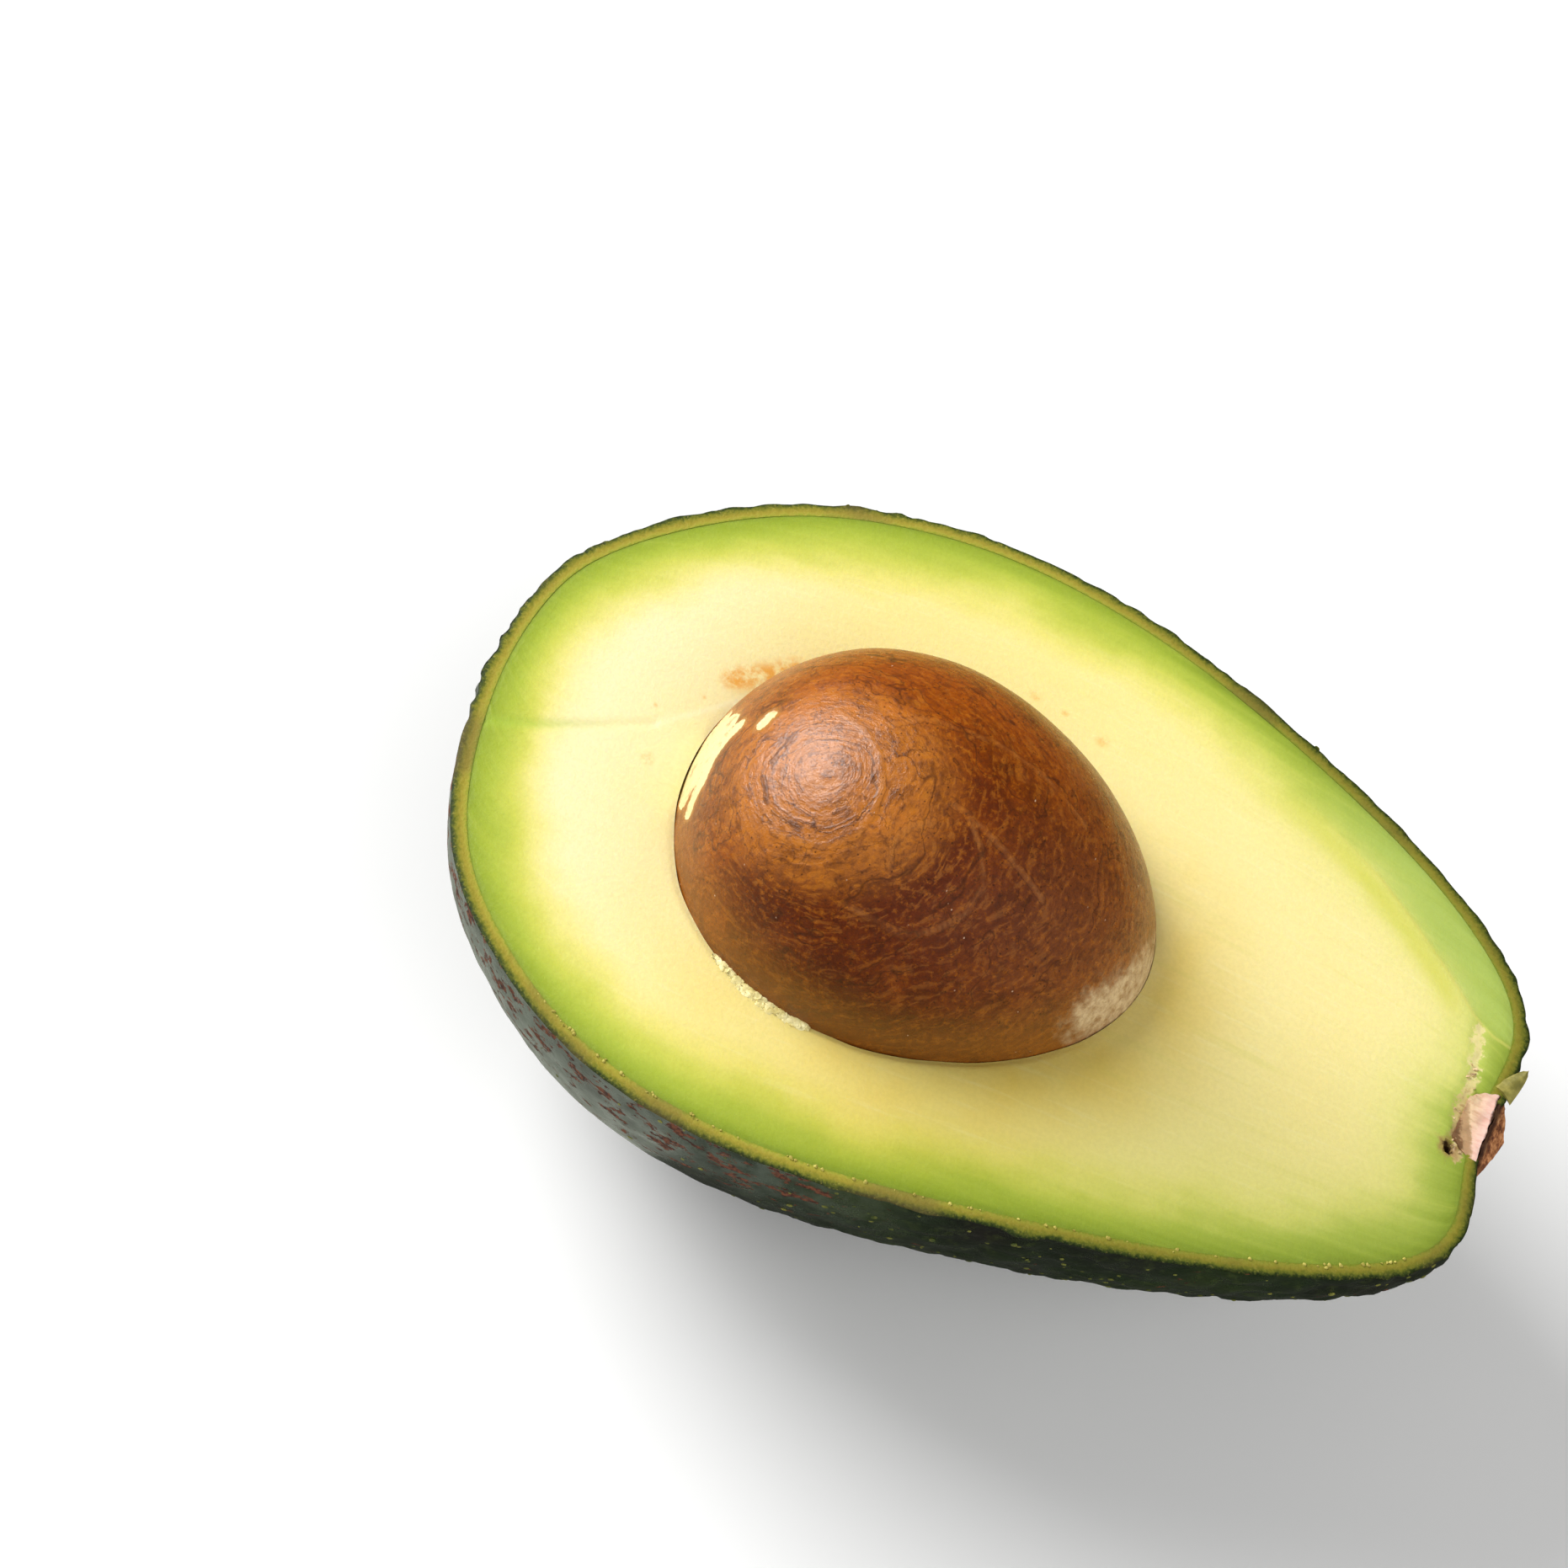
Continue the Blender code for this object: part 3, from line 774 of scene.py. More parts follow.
# Half a rod with its flat side up; each row is its place, radius, top and bulge
def halfRod(name, rows, middleY, roughen, material):
    arc = np.linspace(0, math.pi, stem["arcSteps"] + 1)
    across = np.linspace(-1, 1, stem["topSteps"] + 1)[1:-1]
    loop = np.concatenate([np.stack([np.cos(arc), -np.sin(arc)], axis=1),
                           np.stack([across, np.zeros(len(across))], axis=1)])
    rings = []
    for along, radius, top, bulge in rows:
        forward = along - bulge * loop[:, 0] ** 2 + stem["slant"] * radius * (loop[:, 0] - 1)
        rings.append(np.column_stack([forward, middleY + loop[:, 0] * radius, top + loop[:, 1] * radius]))
    ends = [[row[0] - stem["slant"] * row[1], middleY, row[2] - row[1] * 0.4] for row in (rows[0], rows[-1])]
    points = np.concatenate([ends[:1], *rings, ends[1:]])
    count = len(loop)
    faces = []
    for row in range(len(rows) - 1):
        first = 1 + row * count + np.arange(count)
        faces += loopFaces(first, first + count)
    first, last = 1 + np.arange(count), 1 + (len(rows) - 1) * count + np.arange(count)
    faces += [[0, int(b), int(a)] for a, b in zip(first, np.roll(first, -1))]
    faces += [[len(points) - 1, int(a), int(b)] for a, b in zip(last, np.roll(last, -1))]
    noise.seed_set(stem["noiseSeed"])           # without it the clock seeds the noise
    for place, point in enumerate(points):
        coarse = noise.noise_vector(Vector(point) / (0.9 * mm))
        fine = noise.noise_vector(Vector(point) / (0.35 * mm))
        points[place] += np.array(coarse + 0.5 * fine) * roughen
    thing = makeMesh(name, points, faces)
    thing.data.materials.append(material)
    return thing


def stemWoodMaterial():
    material, tree, shader = newMaterial("stemWood", 0.55, 0.3, Subsurface_Weight=0.15,
                                         Subsurface_Scale=0.6 * mm)
    where = objectMm(tree)
    grain = noiseAt(tree, vectorMaths(tree, "MULTIPLY", where, (0.5, 1.6, 1.0)), 1.5, 4.0, 0.6)
    along, across, _ = axesOf(tree, where)
    outer = remap(tree, along, stemLow.x / mm, stemLow.x / mm + 2.2)
    inner = rampOf(tree, grain, [(0.3, (0.58, 0.36, 0.19)), (0.6, (0.84, 0.62, 0.38))])
    pink = rampOf(tree, grain, [(0.3, (0.82, 0.46, 0.36)), (0.6, (0.92, 0.62, 0.52))])
    base = mixColour(tree, outer, inner, pink)
    # a brown corner on the inner end, darker at its tip, cut off by a ragged slanting line
    sideways = product(tree, maths(tree, "SUBTRACT", across, stemMiddleY / mm + 1.6), 0.34)
    slanting = total(tree, maths(tree, "SUBTRACT", along, stemLow.x / mm - 0.2), sideways)
    rough = swingAt(tree, where, 1.2, 5.0, 0.7)
    brownCorner = total(tree, slanting, product(tree, rough, 2.4))
    base = mixColour(tree, remap(tree, brownCorner, 0.45, -0.1, 0.0, 0.85), base, (0.44, 0.26, 0.12))
    base = mixColour(tree, remap(tree, brownCorner, -0.5, -1.0, 0.0, 0.9), base, (0.16, 0.075, 0.030))
    # painted shade: the wood's outer end turns near black where it meets the gap before the bark
    outerEnd = (stemLow.x + stem["woodTo"]) / mm
    woodGapShade = remap(tree, total(tree, along, product(tree, rough, 0.5)), outerEnd - 0.35, outerEnd - 0.10)
    base = mixColour(tree, woodGapShade, base, (0.045, 0.018, 0.008))
    tree.links.new(base, shader.inputs["Base Color"])
    tree.links.new(bumpFrom(tree, grain, 0.5, 0.2 * mm), shader.inputs["Normal"])
    return material


def stemBarkMaterial():
    material, tree, shader = newMaterial("stemBark", 0.75, 0.3)
    where = objectMm(tree)
    grain = noiseAt(tree, vectorMaths(tree, "MULTIPLY", where, (1.6, 0.6, 0.6)), 1.6, 5.0, 0.7)
    base = rampOf(tree, grain, [(0.32, (0.040, 0.014, 0.006)), (0.45, (0.20, 0.065, 0.022)),
                                (0.56, (0.44, 0.185, 0.065)), (0.72, (0.62, 0.34, 0.16))])
    along, across, _ = axesOf(tree, where)
    # painted shade: the bark darkens towards its end that faces the gap by the wood
    leaning = product(tree, maths(tree, "SUBTRACT", across, stemHigh.y / mm), stem["slant"])
    barkGapShade = maths(tree, "SUBTRACT", maths(tree, "SUBTRACT", along, leaning),
                   (stemLow.x + stem["barkFrom"]) / mm)
    base = mixColour(tree, remap(tree, barkGapShade, 0.75, 0.25, 0.0, 0.85), base, (0.030, 0.011, 0.005))
    tree.links.new(base, shader.inputs["Base Color"])
    tree.links.new(bumpFrom(tree, grain, 0.8, 0.35 * mm), shader.inputs["Normal"])
    return material


def joined(name, pieces):
    mesh = bpy.data.meshes.new(name)
    work = bmesh.new()
    materials = []
    for piece in pieces:
        part = piece.data.copy()
        for slot, material in enumerate(piece.data.materials):
            if material not in materials:
                materials.append(material)
        lookup = [materials.index(material) for material in piece.data.materials]
        for face in part.polygons:
            face.material_index = lookup[face.material_index]
        work.from_mesh(part)
        bpy.data.objects.remove(piece)
    work.to_mesh(mesh)
    work.free()
    for material in materials:
        mesh.materials.append(material)
    smoothWithEdges(mesh)
    return newObject(name, mesh)


def buildStem():
    start = stemLow.x
    radius = stem["woodRadius"]
    woodRows = []
    for share in np.linspace(0, 1, 14):
        along = start + stem["woodFrom"] + share * (stem["woodTo"] - stem["woodFrom"])
        swell = 0.62 + 0.38 * math.sin(share * math.pi / 2)
        woodRows.append((along, radius * swell, cutHeight + 0.12 * mm * (1 - share), 0.0))
    wood = halfRod("wood", woodRows, stemMiddleY + 0.5 * mm, stem["roughen"], stemWoodMaterial())
    barkRows = []
    for share in np.linspace(0, 1, 12):
        along = start + stem["barkFrom"] + share * (stem["barkTo"] - stem["barkFrom"])
        edge = 1 - 0.22 * abs(2 * share - 1) ** 3 - 0.10 * share
        barkRows.append((along, stem["barkRadius"] * edge, cutHeight - 0.15 * mm - 0.35 * mm * share,
                         0.85 * mm * share))
    bark = halfRod("bark", barkRows, stemMiddleY, 1.3 * stem["roughen"], stemBarkMaterial())
    return joined("stem_half_button", [wood, bark])


print("stem button")
stemPiece = buildStem()


flesh = {
    "around": 560, "across": 130, "underRows": 18, "hollowRows": 14,
    "hollowRoom": 0.06 * mm,            # between the seed and its hollow
    "rampDepth": 16.0,                  # mm from the peel over which green turns to yellow
    "Knife waviness": 0.10, "Grain": 0.030, "Streak height": 0.035,
    # marks on the cut face, as paths of mm along and across; a speck has its radius too
    "crack": [(-43.6, -7.7), (-38.8, -5.4), (-34.7, -3.2), (-29.3, 0.0)],
    "paleLine": [(-29.3, 0.0), (-26.3, 3.1), (-22.3, 7.3)],
    "bruise": [(-24.6, 8.2), (-21.9, 10.2), (-20.0, 11.9)],
    "specks": [(-30.1, 1.9, 0.30), (-28.5, -3.8, 0.9), (1.4, 21.0, 0.8), (8.9, 19.5, 0.9),
               (4.6, 20.6, 0.5), (-18.1, 14.8, 0.4), (-26.4, 4.9, 0.25), (-13.2, 26.1, 0.25)],
    "layerLine": [(18.5, 24.9), (29.7, 22.8), (37.9, 18.9), (42.5, 15.8), (47.0, 12.4), (50.4, 9.4),
                  (52.8, 8.1), (55.5, 7.6)],
    "hole": [(51.80, -4.5), (52.15, -5.0)], "holeRadius": 0.34,
    "tear": [(51.3, 8.2), (52.0, 4.6), (52.1, 2.4), (51.9, -0.3), (52.3, -3.0), (52.9, -5.2)],
}


def groundPath(places):
    return np.array([(along * mm, across * mm) for along, across in places])


def fleshRelief(cutFlesh):
    names = ("Knife waviness", "Grain", "Streak height")
    tree, entry, leave = geometryTree("cut face relief", {name: flesh[name] for name in names})
    where = positionMm(tree)
    wave = product(tree, swingAt(tree, where, 0.07), entry.outputs["Knife waviness"])
    grain = product(tree, swingAt(tree, where, 1.1, 3.0, 0.6), entry.outputs["Grain"])
    lanes = named(tree, "lanes", "FLOAT_VECTOR")
    streak = product(tree, swingAt(tree, lanes, 1.0, 3.0, 0.6), entry.outputs["Streak height"])
    height = product(tree, total(tree, wave, grain, streak), named(tree, "onCut"), mm)
    rise = addNode(tree, "ShaderNodeCombineXYZ", {2: height}).outputs[0]
    moved = addNode(tree, "GeometryNodeSetPosition", {"Geometry": entry.outputs[0], "Offset": rise})
    closeTree(tree, moved.outputs[0], leave, cutFlesh)
    return tree


def fleshMaterial():
    material, tree, shader = newMaterial("fleshCut", 0.42, 0.35, Subsurface_Weight=0.22,
                                         Subsurface_Scale=1.6 * mm)
    shader.inputs["Subsurface Radius"].default_value = (1.0, 0.75, 0.25)
    where = objectMm(tree)
    lanes = attributeOf(tree, "lanes", "Vector")
    along = attributeOf(tree, "along")
    fromRim = attributeOf(tree, "fromRim")
    stemward = remap(tree, along, 0.5, 0.95)
    wander = remap(tree, noiseAt(tree, where, 0.09, 3.0, 0.55), 0.25, 0.75, -1.1, 1.1)
    laneNoise = noiseAt(tree, lanes, 1.0, 4.0, 0.6)
    laneShift = product(tree, remap(tree, laneNoise, 0.25, 0.75, -1.0, 1.0),
                        remap(tree, along, 0.3, 0.9, 0.20, 0.50))
    wanderIn = product(tree, wander, remap(tree, fromRim, 0.5, 4.0))
    depth = product(tree, total(tree, fromRim, wanderIn, laneShift), 1 / flesh["rampDepth"])
    blossomRamp = rampOf(tree, depth, [(0.00, (0.25, 0.33, 0.028)), (0.035, (0.31, 0.40, 0.034)),
                                       (0.12, (0.43, 0.515, 0.055)), (0.23, (0.60, 0.625, 0.095)),
                                       (0.36, (0.80, 0.735, 0.190)), (0.52, (0.90, 0.790, 0.310)),
                                       (1.00, (0.92, 0.795, 0.370))])
    stemRamp = rampOf(tree, depth, [(0.00, (0.27, 0.35, 0.040)), (0.040, (0.31, 0.40, 0.050)),
                                    (0.15, (0.45, 0.53, 0.095)), (0.28, (0.68, 0.68, 0.190)),
                                    (0.44, (0.82, 0.755, 0.280)), (0.70, (0.89, 0.780, 0.330)),
                                    (1.00, (0.91, 0.775, 0.320))])
    base = mixColour(tree, stemward, blossomRamp, stemRamp)
    # paler flesh towards the blossom end
    blossomPale = product(tree, remap(tree, along, 0.32, 0.10, 0.0, 0.60), remap(tree, depth, 0.25, 0.60))
    base = mixColour(tree, blossomPale, base, (0.95, 0.88, 0.60))
    # deeper yellow beside the seed, most on the stem side of it: partly the flesh's own colour, partly
    # painted shade from the seed
    ochreAndSeedShade = product(tree, attributeOf(tree, "besideSeed"), remap(tree, wander, -1.0, 1.0, 0.45, 0.8))
    base = mixColour(tree, ochreAndSeedShade, base, (0.84, 0.58, 0.075))
    # lengthwise strands, stronger towards the stem
    strand = product(tree, remap(tree, laneNoise, 0.54, 0.72), remap(tree, along, 0.25, 0.95, 0.06, 0.20))
    base = mixColour(tree, strand, base, (0.62, 0.62, 0.10))
    pale = product(tree, remap(tree, noiseAt(tree, lanes, 2.3, 3.0), 0.56, 0.70, 0.0, 0.16),
                   remap(tree, depth, 0.20, 0.50))
    base = mixColour(tree, pale, base, (0.96, 0.88, 0.50))
    # painted shade: the flesh is greener and duller on the stem's -Y side, darkened as if the seed shaded it
    place = axesOf(tree, where)
    paintedLowShade = product(tree, remap(tree, place[1], 6.0, -16.0), remap(tree, place[0], -22.0, 12.0))
    base = mixColour(tree, paintedLowShade, base, (0.80, 0.815, 0.70), "MULTIPLY")
    cells = remap(tree, noiseAt(tree, where, 2.2, 3.0, 0.7), 0.35, 0.65, 0.975, 1.02)
    base = vectorMaths(tree, "SCALE", base, cells)
    # past the layer line the flesh is cooler, with a thin pale step and a yellow glow before it
    beyond = attributeOf(tree, "beyondLayer")
    reach = attributeOf(tree, "layerReach")
    uneven = remap(tree, noiseAt(tree, lanes, 1.6, 3.0), 0.3, 0.7, 0.42, 0.68)
    cool = product(tree, remap(tree, beyond, -0.15, 0.75), reach, uneven)
    base = mixColour(tree, cool, base, (0.44, 0.56, 0.130))
    step = product(tree, remap(tree, maths(tree, "ABSOLUTE", beyond), 0.05, 0.28, 0.40, 0.0), reach)
    base = mixColour(tree, step, base, (0.72, 0.66, 0.16))
    for mark, share, colour in (("layerGlow", 0.55, (0.62, 0.62, 0.060)),
                                ("crack", 0.55, (0.40, 0.55, 0.060)),
                                ("paleLine", 0.28, (0.97, 0.95, 0.68))):
        base = mixColour(tree, product(tree, attributeOf(tree, mark), share), base, colour)
    blotchy = remap(tree, noiseAt(tree, where, 0.9, 4.0, 0.65), 0.32, 0.62)
    base = mixColour(tree, product(tree, attributeOf(tree, "bruise"), blotchy), base, (0.82, 0.40, 0.07))
    # torn tissue at the stem, brown towards the worm hole, with a stain round its edge and painted shade
    # inside it
    tearRough = product(tree, swingAt(tree, where, 1.1, 5.0, 0.7), 3.6)
    torn = total(tree, attributeOf(tree, "tearDistance"), tearRough)
    lowerTear = remap(tree, place[1], 4.5, -1.0)
    base = mixColour(tree, remap(tree, torn, 0.75, 0.25, 0.0, 0.75), base,
                     mixColour(tree, lowerTear, (0.84, 0.70, 0.34), (0.60, 0.41, 0.20)))
    browned = product(tree, remap(tree, torn, 0.05, -0.30, 0.0, 0.75), lowerTear)
    base = mixColour(tree, browned, base, (0.36, 0.20, 0.085))
    holeRough = product(tree, swingAt(tree, where, 1.3, 4.0, 0.65), 1.8)
    stainAndHoleShade = total(tree, attributeOf(tree, "holeEdge"), holeRough)
    base = mixColour(tree, remap(tree, stainAndHoleShade, 0.9, 0.1, 0.0, 0.8), base, (0.33, 0.19, 0.075))
    # painted shade: near black inside the worm hole
    base = mixColour(tree, remap(tree, stainAndHoleShade, 0.25, -0.15), base, (0.055, 0.024, 0.010))
    tree.links.new(base, shader.inputs["Base Color"])
    moist = remap(tree, noiseAt(tree, where, 0.8, 3.0), 0.3, 0.7, 0.36, 0.52)
    tree.links.new(moist, shader.inputs["Roughness"])
    fine = total(tree, noiseAt(tree, where, 2.4, 3.0, 0.6), product(tree, laneNoise, 0.8))
    tree.links.new(bumpFrom(tree, fine, 0.32, 0.16 * mm), shader.inputs["Normal"])
    return material


def loopOf(sides):
    return np.concatenate([sides[0], sides[1][-2:0:-1]])


# Distance to a path, positive on its left and negative on its right
def sideOfLine(points, path):
    signed = np.zeros(len(points))
    best = np.full(len(points), np.inf)
    for start, end in zip(path[:-1], path[1:]):
        step = end - start
        away = awayFrom(points, start, step)
        distance = np.linalg.norm(away, axis=1)
        cross = step[0] * away[:, 1] - step[1] * away[:, 0]
        closer = distance < best
        best = np.where(closer, distance, best)
        signed = np.where(closer, np.sign(cross) * distance, signed)
    return signed


def buildFlesh():
    around, across = flesh["around"], flesh["across"]
    inset = fruit["peelThickness"]
    sides = outlineSides(inset, around // 2, crowding=0.0)
    rim = loopOf(sides)
    middle = np.array([seedMiddle.x, seedMiddle.y])
    directions = rim - middle
    directions /= np.linalg.norm(directions, axis=1)[:, None]
    lip = seedOutlineAt(directions, cutHeight, flesh["hollowRoom"])
    # the lip stands a little off the seed on the -Y side
    gap = np.array([noise.noise(Vector((*place, 0.3)) / (4 * mm)) for place in lip])
    lowSide = np.clip(0.05 - directions[:, 1], 0, 1)
    lip = lip + directions * (0.22 * mm * np.clip(gap + 0.4, 0, 1) * lowSide)[:, None]
    shares = np.linspace(0, 1, across + 1)
    flat = lip[None] + (rim - lip)[None] * shares[:, None, None]
    top = np.concatenate([flat, np.full((*flat.shape[:2], 1), cutHeight)], axis=2)
    # underside, just inside the peel
    envelope = outlineSides(inset, 600)
    widths = []
    for side in envelope:
        furthest = np.argmax(side[:, 0])
        widths.append((side[:furthest + 1, 0], side[:furthest + 1, 1]))
    rows = []
    for row in range(1, flesh["underRows"]):
        place = rim * math.cos(row / flesh["underRows"] * math.pi / 2)
        high = np.interp(place[:, 0], *widths[0])
        low = np.interp(place[:, 0], *widths[1])
        half, mid = (high - low) / 2, (high + low) / 2
        inside = np.clip(half ** 2 - (place[:, 1] - mid) ** 2, 0, None)
        local = np.polyval(roundCurve, (place[:, 0] - skinLow.x) / fruitLength) * depthScale
        height = np.maximum(cutHeight - local * np.sqrt(inside) + 0.05 * mm, inset + 0.05 * mm)
        rows.append(np.column_stack([place, height]))
    under = np.array(rows)
    hollow = []
    bottom = seedLow.z - flesh["hollowRoom"]
    for row in range(1, flesh["hollowRows"]):
        lean = row / flesh["hollowRows"] * math.pi / 2
        height = cutHeight - (cutHeight - bottom) * math.sin(lean)
        ring = seedOutlineAt(directions, height, flesh["hollowRoom"])
        hollow.append(np.column_stack([ring, np.full(len(ring), height)]))
    hollow = np.array(hollow)
    count = len(rim)
    points = np.concatenate([top.reshape(-1, 3), under.reshape(-1, 3), hollow.reshape(-1, 3),
                             [[0, 0, inset + 0.05 * mm]], [[seedMiddle.x, seedMiddle.y, bottom]]])
    topIndex = np.arange((across + 1) * count).reshape(across + 1, count)
    underIndex = topIndex[-1, -1] + 1 + np.arange(under.shape[0] * count).reshape(-1, count)
    hollowIndex = underIndex[-1, -1] + 1 + np.arange(hollow.shape[0] * count).reshape(-1, count)
    faces = []
    chain = [*hollowIndex[::-1], *topIndex, *underIndex]
    for first, second in zip(chain[:-1], chain[1:]):
        faces += loopFaces(first, second)
    heartIndex, hollowEnd = len(points) - 2, len(points) - 1
    last, first = underIndex[-1], hollowIndex[-1]
    faces += [[int(a), int(b), heartIndex] for a, b in zip(last, np.roll(last, -1))]
    faces += [[int(b), int(a), hollowEnd] for a, b in zip(first, np.roll(first, -1))]

    onCut = np.zeros(len(points))
    onCut[:topIndex.size] = 1
    ground = points[:, :2]
    fromRim = distanceToPath(ground, np.vstack([rim, rim[:1]])[::4]) / mm
    lipWidth = np.linalg.norm(rim - lip, axis=1)
    lipDistance = np.concatenate([(shares[:, None] * lipWidth[None]).ravel(),
                                  np.full(len(points) - topIndex.size, 1.0)])
    fromSeed = ground - middle
    lowShare = -0.2 - fromSeed[:, 1] / np.maximum(np.linalg.norm(fromSeed, axis=1), 1e-6)
    sinking = (0.04 + 0.36 * np.clip(lowShare, 0, 1)) * mm
    drop = 0.05 * mm * np.exp(-(fromRim / 0.35) ** 2) + sinking * np.exp(-(lipDistance / (0.45 * mm)) ** 2)
    crackDistance = distanceToPath(ground, groundPath(flesh["crack"]))
    drop += 0.12 * mm * np.exp(-(crackDistance / (0.35 * mm)) ** 2)
    line = groundPath(flesh["layerLine"])
    beyond = sideOfLine(ground, line)
    reach = smoothShare(ground[:, 0], 26 * mm, 42 * mm)
    drop += 0.14 * mm * smoothShare(beyond, -0.2 * mm, 0.4 * mm) * reach * smoothShare(fromRim, 0.3, 2.5)
    holeDistance = distanceToPath(ground, groundPath(flesh["hole"]))
    ragged = np.array([noise.noise(Vector((*place, 0)) / (0.7 * mm)) for place in ground]) * 0.45 * mm
    hole = 1 - smoothShare(holeDistance + ragged, flesh["holeRadius"] * 0.55 * mm,
                           flesh["holeRadius"] * 1.25 * mm)
    drop += 1.2 * mm * hole
    tearDistance = distanceToPath(ground, groundPath(flesh["tear"]))
    tear = 1 - smoothShare(tearDistance + ragged, 0.35 * mm, 1.25 * mm)
    drop += 0.28 * mm * tear * (0.5 + ragged / (0.45 * mm))
    # room for the woody stub
    stub = np.maximum(np.abs(ground[:, 1] - (stemMiddleY + 0.5 * mm)) / (0.80 * stem["woodRadius"]),
                      (stemLow.x + 0.1 * mm - ground[:, 0]) / mm + 1)
    drop += 1.2 * mm * (1 - smoothShare(stub, 0.85, 1.0))
    points[:, 2] -= drop * onCut
    thing = makeMesh("flesh", points, faces)
    high, low = (np.interp(ground[:, 0], *width) for width in widths)
    halfWidth, mid = np.maximum((high - low) / 2, mm), (high + low) / 2
    lane = (ground[:, 1] - mid) / (0.5 * halfWidth + 14 * mm)
    alongShare = (ground[:, 0] - skinLow.x) / fruitLength
    storeAttribute(thing, "lanes", np.column_stack([alongShare * 5, lane * 19, np.zeros(len(points))]))
    storeAttribute(thing, "along", alongShare)
    storeAttribute(thing, "onCut", onCut)
    # the lip's lower stem side, where the seed's shadow falls, gets most: partly painted shade
    bearing = np.arctan2(ground[:, 1] - middle[1], ground[:, 0] - middle[0])
    stemSide = 0.30 + 0.70 * np.clip(np.cos(bearing - math.radians(-42)), 0, 1)
    storeAttribute(thing, "besideSeed", stemSide * (1 - smoothShare(lipDistance, 0.5 * mm, 13 * mm)))
    storeAttribute(thing, "fromRim", fromRim)
    storeAttribute(thing, "beyondLayer", beyond / mm)
    storeAttribute(thing, "layerReach", reach)
    storeAttribute(thing, "holeEdge", holeDistance / mm - flesh["holeRadius"])
    storeAttribute(thing, "tearDistance", tearDistance / mm)
    layer = np.exp(-((beyond + 1.3 * mm) / (1.3 * mm)) ** 2) * smoothShare(ground[:, 0], 20 * mm, 38 * mm)
    storeAttribute(thing, "layerGlow", layer * (1 - smoothShare(ground[:, 0], 47 * mm, 50 * mm)))
    crack = np.exp(-(crackDistance / (0.55 * mm)) ** 2) * smoothShare(ground[:, 0], -28 * mm, -42 * mm)
    storeAttribute(thing, "crack", crack)
    paleDistance = distanceToPath(ground, groundPath(flesh["paleLine"]))
    storeAttribute(thing, "paleLine", np.exp(-(paleDistance / (0.32 * mm)) ** 2))
    bruise = 1 - smoothShare(distanceToPath(ground, groundPath(flesh["bruise"])), 0.4 * mm, 2.0 * mm)
    for along, sideways, radius in flesh["specks"]:
        distance = np.linalg.norm(ground - groundPath([(along, sideways)])[0], axis=1)
        bruise = np.maximum(bruise, 0.6 * (1 - smoothShare(distance, 0.3 * radius * mm, radius * mm)))
    storeAttribute(thing, "bruise", bruise)
    thing.data.materials.append(fleshMaterial())
    return applyTree(thing, fleshRelief(thing.data.materials[0]), flesh)


print("flesh")
fleshPiece = buildFlesh()


# Uneven beads on a strip, or on the peel's outside where they thin out to the blossom end
def scatterTree(name, inputs, onStrip, material):
    tree, entry, leave = geometryTree(name, inputs)
    if onStrip:
        spread = addNode(tree, "GeometryNodeDistributePointsOnFaces",
                         {"Mesh": entry.outputs[0], "Density": entry.outputs["Density"],
                          "Seed": entry.outputs["Seed"]})
    else:
        place = tree.nodes.new("GeometryNodeInputPosition").outputs[0]
        thicker = remap(tree, axesOf(tree, place)[0], -28 * mm, 12 * mm, 0.30, 1.0)
        spread = addNode(tree, "GeometryNodeDistributePointsOnFaces",
                         {"Mesh": entry.outputs[0], "Selection": facesOfSlot(tree, 0),
                          "Density": product(tree, entry.outputs["Density"], thicker),
                          "Seed": entry.outputs["Seed"]})
    bead = addNode(tree, "GeometryNodeMeshUVSphere", {"Segments": 8, "Rings": 5, "Radius": 1.0})
    size = addNode(tree, "FunctionNodeRandomValue", {2: 0.45, 3: 1.3, "Seed": entry.outputs["Seed"]},
                   data_type="FLOAT")
    width = product(tree, size.outputs[1], entry.outputs["Radius"])
    flatness = product(tree, width, entry.outputs["Flatness"])
    scale = addNode(tree, "ShaderNodeCombineXYZ", {0: width, 1: width, 2: flatness}).outputs[0]
    placed = addNode(tree, "GeometryNodeInstanceOnPoints",
                     {"Points": spread.outputs["Points"], "Instance": bead.outputs[0],
                      "Rotation": spread.outputs["Rotation"], "Scale": scale})
    real = addNode(tree, "GeometryNodeRealizeInstances", {0: placed.outputs[0]})
    where = positionMm(tree)
    lump = vectorMaths(tree, "SUBTRACT", noiseAt(tree, where, 3.5, 2.0, colour=True), (0.5, 0.5, 0.5))
    shift = vectorMaths(tree, "SCALE", lump, entry.outputs["Unevenness"])
    moved = addNode(tree, "GeometryNodeSetPosition", {"Geometry": real.outputs[0], "Offset": shift})
    painted = addNode(tree, "GeometryNodeSetMaterial", {"Geometry": moved.outputs[0], "Material": material})
    tree.links.new(painted.outputs[0], leave.inputs[0])
    return tree


def speckMaterial(name, dark, light, roughness):
    material, tree, shader = newMaterial(name, roughness, 0.4)
    where = objectMm(tree)
    tone = noiseAt(tree, where, 0.8, 3.0, 0.6)
    tree.links.new(rampOf(tree, tone, [(0.35, dark), (0.65, light)]), shader.inputs["Base Color"])
    tree.links.new(bumpFrom(tree, noiseAt(tree, where, 5.0, 2.0), 0.3, 0.1 * mm), shader.inputs["Normal"])
    return material


lenticels = {"Density": 0.9e5, "Radius": 0.27 * mm, "Flatness": 0.30, "Unevenness": 0.05 * mm, "Seed": 7}
crumbs = {"Density": 5.5e6, "Radius": 0.15 * mm, "Flatness": 0.8, "Unevenness": 0.30 * mm, "Seed": 3}
tornFlesh = {"Density": 1.2e7, "Radius": 0.46 * mm, "Flatness": 0.34, "Unevenness": 0.9 * mm, "Seed": 11}
tornStem = {"Density": 1.3e6, "Radius": 0.17 * mm, "Flatness": 0.35, "Unevenness": 0.90 * mm, "Seed": 5}


